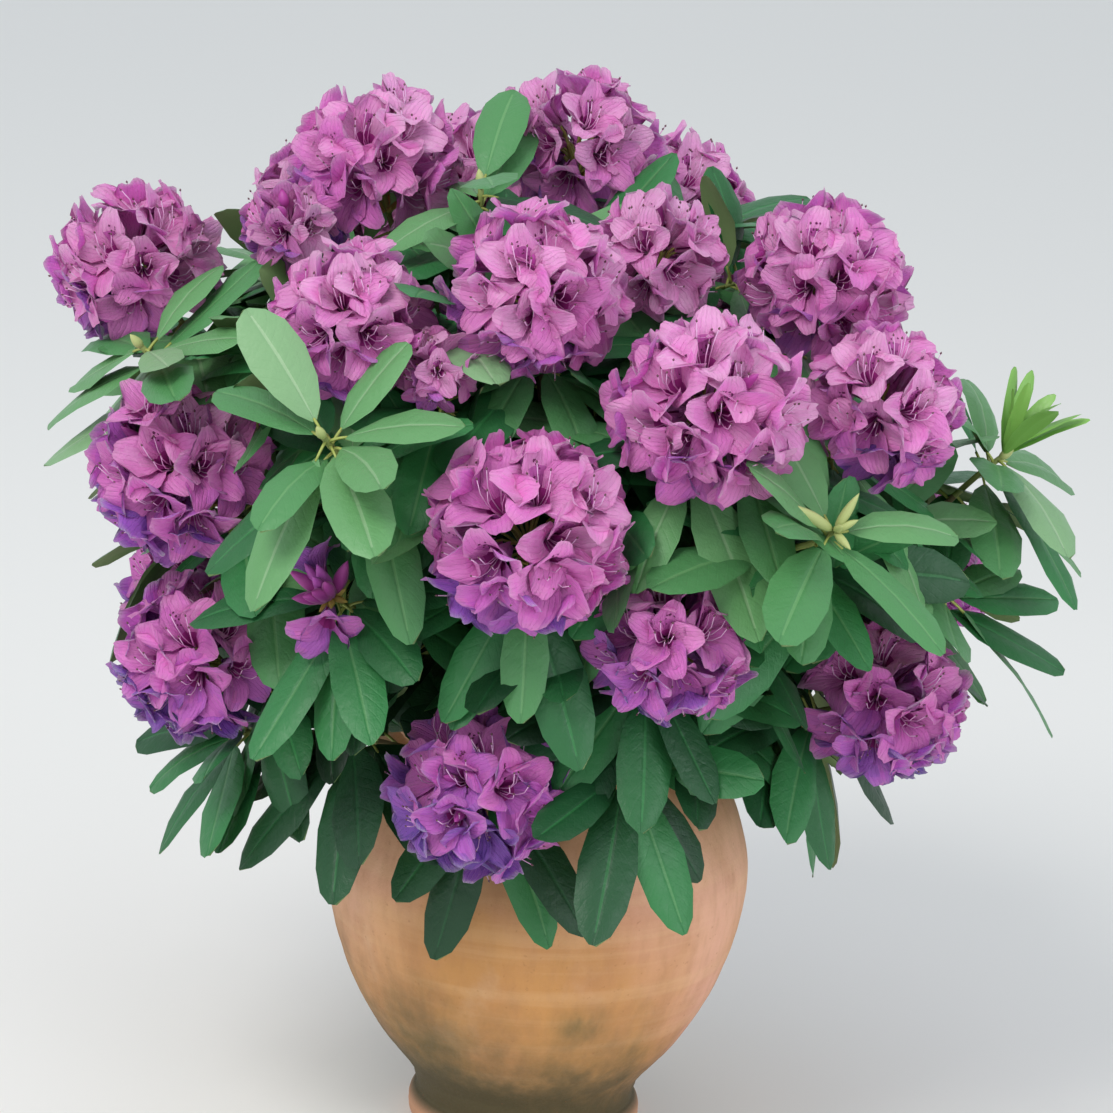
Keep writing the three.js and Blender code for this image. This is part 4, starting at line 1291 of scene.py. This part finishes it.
def make_blossom(mass, number):
    """The flowers of a mass as one piece, if it has any."""
    draw = np.random.default_rng(SEED * 1000 + number)
    heap = Heap()
    for shoot in mass["shoots"]:
        if shoot["kind"] == "truss":
            add_truss(heap, shoot, draw)
        if shoot["kind"] == "bud":
            add_bud_truss(heap, shoot, draw)
    if heap.count:
        heap.piece(f"blossom_{mass['name']}", FINISHES["petals"], "foliage", [f"foliage_{mass['name']}"])


# Leaves

class Room:
    """What a new leaf keeps clear of: the balls of flowers, the jar, the box, and the leaves so far."""

    def __init__(self, masses, box):
        blooms = [(i < len(MASSES), s) for i, mass in enumerate(masses) for s in mass["shoots"]]
        blooms = [(front, shoot) for front, shoot in blooms if "radius" in shoot]
        self.centres = np.array([shoot["centre"] for _, shoot in blooms])
        self.radii = np.array([shoot["radius"] for _, shoot in blooms])
        self.axes = np.array([shoot["axis"] for _, shoot in blooms])
        self.front = np.array([front for front, _ in blooms])
        self.sight = unit(np.array(CAMERA["place"]) - self.centres)
        self.jar = np.array(JAR_OUTSIDE[:-1]).T * MM
        self.box = np.array(box)
        self.leaves = np.zeros((0, 3))

    def crowding(self, points):
        """A cost for each try, whose points are [try, point, 3]: by how much they are inside a ball, the
        jar or another leaf's space, or outside the box."""
        apart = np.linalg.norm(points[:, :, None] - self.centres, axis=-1)
        flowers = np.maximum(CLEAR["ball"] * self.radii - apart, 0).sum(axis=(1, 2)) / COST_OF_ONE["ball"]
        flowers = flowers + self.hiding(points, self.axes, np.ones(len(self.front)))
        flowers = flowers + self.hiding(points, self.sight, self.front)
        half = np.interp(points[..., 2], self.jar[1], self.jar[0])
        inside = np.maximum(half + CLEAR["jar"] - np.linalg.norm(points[..., :2], axis=-1), 0)
        jar = np.where(points[..., 2] < CLEAR["rim"], inside, 0).sum(axis=1) / COST_OF_ONE["jar"]
        beyond = np.maximum(self.box[0] - points, points - self.box[1])
        outside = np.maximum(beyond, 0).sum(axis=(1, 2)) / COST_OF_ONE["box"]
        if not len(self.leaves):
            return flowers + jar + outside
        near = np.linalg.norm(points[:, :, None] - self.leaves, axis=-1).min(axis=2)
        return flowers + jar + outside + np.maximum(CLEAR["leaf"] - near, 0).sum(axis=1) / COST_OF_ONE["leaf"]

    def hiding(self, points, ways, counts):
        """By how much the points stand over the flowers' faces, as seen along those ways."""
        apart = points[:, :, None] - self.centres
        over = (apart * ways).sum(-1)
        aside = np.linalg.norm(apart - over[..., None] * ways, axis=-1)
        hidden = np.maximum(CLEAR["face"] * self.radii - aside, 0)
        hidden = hidden * (over > -CLEAR["behind"] * self.radii) * counts
        return hidden.sum(axis=(1, 2)) / COST_OF_ONE["face"]

    def take(self, points):
        """The points belong to a leaf from now on."""
        self.leaves = np.vstack([self.leaves, points])


def leaf_axes(root, outward, facing, size):
    """Three points down the middle of each leaf, to test it by."""
    share = np.array([0.3, 0.6, 0.92])[:, None]
    reach = (LEAF["petiole"] + LEAF["blade"] * share) * size[:, None, None]
    fall = LEAF["droop"] * share ** 2 * size[:, None, None]
    return root[:, None] + outward[:, None] * reach - UP * fall + facing[:, None] * 2 * MM


def grow_whorl(leaves, room, shoot, path, rule, kind, draw):
    """A whorl's leaves. Each tries a number of places near its own and takes the least crowded one."""
    first = draw.uniform(0, 360)
    lengths = np.linalg.norm(np.diff(path, axis=0), axis=1)
    way = np.concatenate([[0], np.cumsum(lengths)])
    for k in range(rule["leaves"]):
        back = rule["back"] + rule["span"] * k / rule["leaves"]
        if way[-1] - back < way[-1] * 0.1:
            continue
        root = np.array([np.interp(way[-1] - back, way, path[:, i]) for i in range(3)])
        turn = first + k * WHORL_STEP * 360 + draw.uniform(-16, 16, TRIES)
        lean = draw.uniform(*rule["lean"], TRIES)
        outward = leaning(np.tile(shoot["axis"], (TRIES, 1)), lean, turn)
        size = draw.uniform(0.84, 1.12, TRIES)
        facing = shoot["axis"] * 0.7 + UP * 0.55 + draw.normal(0, 0.12, (TRIES, 3))
        facing = unit(facing - outward * (facing * outward).sum(-1, keepdims=True))
        points = leaf_axes(np.tile(root, (TRIES, 1)), outward, facing, size)
        cost = room.crowding(points) + np.arange(TRIES) * 0.01
        if kind in ("older", "side"):
            cost = cost + np.maximum(SKIRT - points[..., 2], 0).sum(axis=1) / (30 * MM)
        best = int(cost.argmin())
        if cost[best] > MOST_CROWDED:
            continue
        room.take(points[best])
        leaves.append({
            "root": root, "outward": outward[best], "facing": facing[best], "size": size[best], "kind": kind,
        })


def side_twigs(mass, reach_of, room, ends, draw):
    """Short twigs that spring from the bough and the twigs and fill the mass from inside. Each is the best
    of a few that stay inside the crown, clear of the flowers and apart from the others."""
    bough = pulled_curve(mass["bough"][None], 20)[0]
    lines = [bough[9:]] + [pulled_curve(twig[None], 16)[0][2:10] for twig in mass["twigs"]]
    made = []
    for _ in range(SIDE_TWIG["count"]):
        tries = []
        for _ in range(TRIES):
            line = lines[int(draw.integers(len(lines)))]
            i = int(draw.integers(len(line) - 1))
            along = unit(line[i + 1] - line[i])
            lean = draw.uniform(*SIDE_TWIG["lean"], 1)
            heading = leaning(along[None], lean, draw.uniform(0, 360, 1))[0]
            end = line[i] + heading * draw.uniform(*SIDE_TWIG["long"]) * MM
            near = SIDE_TWIG["apart"] - np.linalg.norm(ends - end, axis=1).min()
            beyond = np.linalg.norm(end - CROWN) - SIDE_TWIG["inside"] * reach_of(end)
            low = SIDE_TWIG["above"] - end[2]
            cost = SIDE_COST["crowded"] * room.crowding(end[None, None])[0] + max(near, 0) * SIDE_COST["near"]
            cost += max(beyond, 0) * SIDE_COST["beyond"] + max(low, 0) * SIDE_COST["low"]
            tries.append((cost, line[i], along, end))
        cost, start, along, end = min(tries, key=lambda one: one[0])
        if cost > SIDE_COST["most"]:
            continue
        ends = np.vstack([ends, end])
        reach = np.linalg.norm(end - start)
        toward = unit(end - start)
        made.append(np.array([start, start + along * reach * 0.35, end - toward * reach * 0.3, end]))
    return made, ends


def grow_leaves(masses, box):
    """Every leaf of the plant by mass: the whorl of each shoot first, then the older leaves further down
    its twig, then the whorls of the side twigs."""
    room = Room(masses, box)
    places = np.array([shoot["place"] for mass in masses for shoot in mass["shoots"]]) - CROWN

    def reach_of(point):
        """How far the crown reaches that way: the shoots' own distances, the nearest counting most."""
        close = np.exp((unit(places) @ unit(point - CROWN) - 1) / 0.06)
        return (close * np.linalg.norm(places, axis=1)).sum() / close.sum()

    draws = [np.random.default_rng(SEED * 2000 + i) for i in range(len(masses))]
    for mass in masses:
        mass["leaves"] = []
    for older in (False, True):
        for mass, draw in zip(masses, draws):
            for shoot, twig in zip(mass["shoots"], mass["twigs"]):
                kind = "older" if older else shoot["kind"]
                rule = WHORL.get(kind, WHORL["leafy"])
                grow_whorl(mass["leaves"], room, shoot, pulled_curve(twig[None], 20)[0], rule, kind, draw)
    ends = np.array([shoot["end"] for mass in masses for shoot in mass["shoots"]])
    for mass, draw in zip(masses, draws):
        mass["sides"], ends = side_twigs(mass, reach_of, room, ends, draw)
    for mass, draw in zip(masses, draws):
        for corners in mass["sides"]:
            path = pulled_curve(corners[None], 12)[0]
            shoot = {"axis": unit(unit(path[-1] - path[-3]) + unit(path[-1] - SPRING) * 0.5)}
            grow_whorl(mass["leaves"], room, shoot, path, WHORL["side"], "side", draw)


def leaf_sheets(root, outward, facing, size, draw):
    """The upper faces of leaves [leaf, row, column, 3]. The half-width goes as share^0.68 times
    (1 - share)^0.52, each half folds up from the midrib and rolls down at its edge, the edge ripples, and
    the blade droops by the square of the way along."""
    count = len(root)
    share = LEAF_ROWS[:, None]
    across = LEAF_COLUMNS_AT[None, :]
    half = np.maximum(share ** 0.68 * (1 - share) ** 0.52 / 0.44, lerp(0.08, 0.13, share))
    wide = LEAF["width"] / 2 * size * draw.uniform(*LEAF_SWAY["width"], count)
    half = half[None] * wide[:, None, None]
    aside = np.cross(outward, facing)[:, None, None]
    fold = draw.uniform(*LEAF_SWAY["fold"], (count, 1, 1))
    phase = draw.uniform(0, TAU, (count, 1, 1))
    rise = half * (fold * np.abs(across) - (fold + 0.08) * np.abs(across) ** 3)
    edge = np.sin(TAU * 1.4 * share + phase + np.sign(across))
    rise = rise + LEAF_SWAY["ripple"] * edge * np.abs(across)
    fall = draw.uniform(*LEAF_SWAY["droop"], (count, 1, 1))
    droop = LEAF["droop"] * size[:, None, None] * fall * share ** 2
    bow = draw.uniform(*LEAF_SWAY["bow"], (count, 1, 1)) * MM * np.sin(np.pi * share)
    sweep = draw.normal(0, LEAF_SWAY["sweep"], (count, 1, 1)) * MM * share ** 2
    reach = (LEAF["petiole"] + LEAF["blade"] * share) * size[:, None, None]
    wide = (across * half + sweep)[..., None]
    middle = root[:, None, None] + outward[:, None, None] * reach[..., None]
    return middle + aside * wide + facing[:, None, None] * (rise + bow)[..., None] - UP * droop[..., None]


def blade_places():
    """How far across (-1 to 1) and along (0 to 1) its blade each point of a leaf's grid lies."""
    across, along = np.meshgrid(LEAF_COLUMNS_AT, LEAF_ROWS)
    return np.stack([across, along, np.ones_like(along)], axis=-1)


def leaf_numbers(roots, draw):
    """Tints for each face of each leaf's front and back: deeper inside the crown and low down as painted
    shade, paler far out and high up as painted light, with a paler midrib."""
    # Painted light and shade: leaves far out and high up are paler, those deep inside and low down deeper.
    far = np.linalg.norm((roots - CROWN) * (1, 1, 0.9), axis=1)
    light = 0.02 + 0.34 * smooth_step(0.12, 0.35, far) + 0.42 * smooth_step(0.34, 0.72, roots[:, 2])
    light = light + draw.normal(0, 0.13, len(roots))
    rows, columns = len(LEAF_ROWS) - 1, len(LEAF_COLUMNS_AT) - 1
    tone = np.broadcast_to(light[:, None, None], (len(roots), rows, columns))
    tone = np.clip(np.round(tone * (LEAF_TONES - 1)), 0, LEAF_TONES - 1).astype(int)
    front = tone.copy()
    front[:, :-1, columns // 2] = np.minimum(tone[:, :-1, columns // 2] + 1, LEAF_TONES - 1)
    back = np.full(front.shape, UNDERSIDE)
    return front, back


def add_mass_wood(wood, mass, root, outward, blade):
    """The twigs of a mass, its side twigs, each with a resting bud at its end, and the stalks that bow
    from each leaf's root to its blade."""
    twigs = pulled_curve(mass["twigs"], 16)
    wooden = np.where(np.arange(15) < 11, TWIG_BARK, GREEN_TWIG)
    add_tubes(wood, twigs, np.linspace(TWIG["root"], TWIG["tip"], 16), 7, wooden[None])
    if mass["sides"]:
        sides = pulled_curve(np.array(mass["sides"]), 10)
        greening = np.where(np.arange(9) < 4, TWIG_BARK, GREEN_TWIG)
        add_tubes(wood, sides, np.linspace(2.2, 1.6, 10) * MM, 6, greening[None])
        heading = unit(sides[:, -1] - sides[:, -2])
        add_spindles(wood, sides[:, -1] - heading * 2 * MM, heading, 11 * MM, 3 * MM, RESTING_BUD)
    bow = root + outward * np.linalg.norm(blade - root, axis=1, keepdims=True) * 0.5 + UP * 1.5 * MM
    stalks = pulled_curve(np.stack([root, bow, blade + unit(outward) * 2 * MM], axis=1), 4)
    add_tubes(wood, stalks, np.array([1.5, 1.25, 1.15, 1.1]) * MM, 4, LEAF_STALK)


def add_shoot_end(heap, wood, shoot, draw):
    """What stands at the end of a leafy shoot: a resting bud, furled spears or fresh leaves."""
    end, axis = shoot["end"][None], shoot["axis"][None]
    if shoot["kind"] in ("leafy", "fresh"):
        add_spindles(wood, end - axis * 2 * MM, axis, 15 * MM, 3.8 * MM, RESTING_BUD)
    if shoot["kind"] == "spears":
        tilt, turn, length = np.array(SPEARS, float).T
        way = leaning(np.tile(axis, (len(SPEARS), 1)), tilt, turn)
        start = np.tile(end, (len(SPEARS), 1))
        add_spindles(wood, start, way, length * MM, (2.2 + 0.05 * length) * MM, RESTING_BUD)
    if shoot["kind"] == "fresh":
        add_fresh_leaves(heap, shoot, draw)


def make_foliage(mass, number):
    """The leaves of a mass as one piece, and its twigs, leaf stalks and resting buds as another."""
    draw = np.random.default_rng(SEED * 3000 + number)
    root, outward, facing, size = [
        np.array([leaf[key] for leaf in mass["leaves"]]) for key in ("root", "outward", "facing", "size")
    ]
    sheets = leaf_sheets(root, outward, facing, size, draw)
    heap = Heap()
    add_shells(heap, sheets, LEAF["thick"], *leaf_numbers(root, draw), blade_places())
    wood = Heap()
    add_mass_wood(wood, mass, root, outward, sheets[:, 0].mean(axis=1))
    for shoot in mass["shoots"]:
        add_shoot_end(heap, wood, shoot, draw)
    names = [f"foliage_{mass['name']}"]
    heap.piece(f"leaves_{mass['name']}", FINISHES["leaves"], "foliage", names)
    wood.piece(f"twigs_{mass['name']}", FINISHES["twigs"], "foliage", names)


def add_fresh_leaves(heap, shoot, draw):
    """New leaves that stand up in a sheaf, narrow and bright."""
    count = FRESH["count"]
    axis = unit(shoot["axis"] + UP * FRESH["upright"])
    tilt = draw.uniform(*FRESH["tilt"], count)
    outward = leaning(np.tile(axis, (count, 1)), tilt, np.arange(count) * SHEAF_TURN)
    facing = unit(axis - outward * (outward @ axis)[:, None])
    size = draw.uniform(*FRESH["size"], count)
    root = np.tile(shoot["end"], (count, 1)) - outward * FRESH["back"]
    sheets = leaf_sheets(root, outward, facing, size, draw)
    middle = sheets[:, :, 2:4].mean(axis=2, keepdims=True)
    sheets = middle + (sheets - middle) * FRESH["width"]
    add_shells(heap, sheets, LEAF["thick"], YOUNG, YOUNG, blade_places())


# Floor, light and camera

def make_floor():
    """A wide plain pale floor."""
    mesh = bpy.data.meshes.new("floor")
    mesh.from_pydata([(-20, -20, 0), (20, -20, 0), (20, 20, 0), (-20, 20, 0)], [], [(0, 1, 2, 3)])
    material = bpy.data.materials.new("pale_floor")
    material.use_nodes = True
    shader = material.node_tree.nodes["Principled BSDF"]
    shader.inputs["Base Color"].default_value = linear("eceae4")
    shader.inputs["Roughness"].default_value = 0.9
    mesh.materials.append(material)
    put("floor", mesh)


def aimed(place, target):
    """A turn whose -Z looks from a place to a target."""
    away = Vector(place) - Vector(target)
    return away.to_track_quat("Z", "Y").to_euler()


def make_light(name, place, size, power, colour):
    """A soft square lamp that faces the crown."""
    data = bpy.data.lights.new(name, "AREA")
    data.size = size
    data.energy = power
    data.color = colour
    lamp = put(name, data)
    lamp.location = place
    lamp.rotation_euler = aimed(place, (0, 0, 0.5))


def light_scene():
    """Soft studio light: a large key from the upper left, a weak fill and an even pale sky."""
    world = bpy.data.worlds.new("studio")
    world.use_nodes = True
    sky = world.node_tree.nodes["Background"]
    sky.inputs["Color"].default_value = (0.86, 0.92, 1.0, 1)
    sky.inputs["Strength"].default_value = 0.82
    bpy.context.scene.world = world
    make_light("key", (-1.9, -2.6, 3.9), 2.0, 118, (1.0, 0.98, 0.96))
    make_light("fill", (2.6, -2.4, 1.4), 2.0, 34, (0.92, 0.95, 1.0))
    bpy.context.scene.view_settings.view_transform = "Standard"


def make_camera():
    """The photograph's view: level with the crown's upper half, looking a little down, rolled slightly."""
    pitch, roll = np.radians(CAMERA["pitch"]), np.radians(CAMERA["roll"])
    forward = np.array([0, np.cos(pitch), -np.sin(pitch)])
    right = np.array([1.0, 0, 0])
    over = np.cross(right, forward)
    across = np.cos(roll) * right + np.sin(roll) * over
    upward = np.cos(roll) * over - np.sin(roll) * right
    data = bpy.data.cameras.new("camera")
    data.lens = CAMERA["lens"]
    data.sensor_width = 36
    camera = put("camera", data)
    rows = np.column_stack([across, upward, -forward, CAMERA["place"]])
    camera.matrix_world = Matrix([*rows.tolist(), [0, 0, 0, 1]])
    bpy.context.scene.camera = camera


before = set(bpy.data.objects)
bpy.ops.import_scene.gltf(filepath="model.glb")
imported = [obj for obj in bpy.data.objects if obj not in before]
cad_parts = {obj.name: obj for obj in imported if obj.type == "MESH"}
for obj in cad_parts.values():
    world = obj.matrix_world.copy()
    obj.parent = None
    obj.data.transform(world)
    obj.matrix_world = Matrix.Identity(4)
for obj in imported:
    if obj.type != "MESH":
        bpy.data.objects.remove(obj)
cad_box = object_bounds()
make_camera()
make_finishes()
make_floor()
light_scene()
make_jar()
make_soil()
masses = grow_limbs()
make_limbs(masses)
place_trusses(masses)
grow_leaves(masses, cad_box)
for number, mass in enumerate(masses):
    make_blossom(mass, number)
    make_foliage(mass, number)
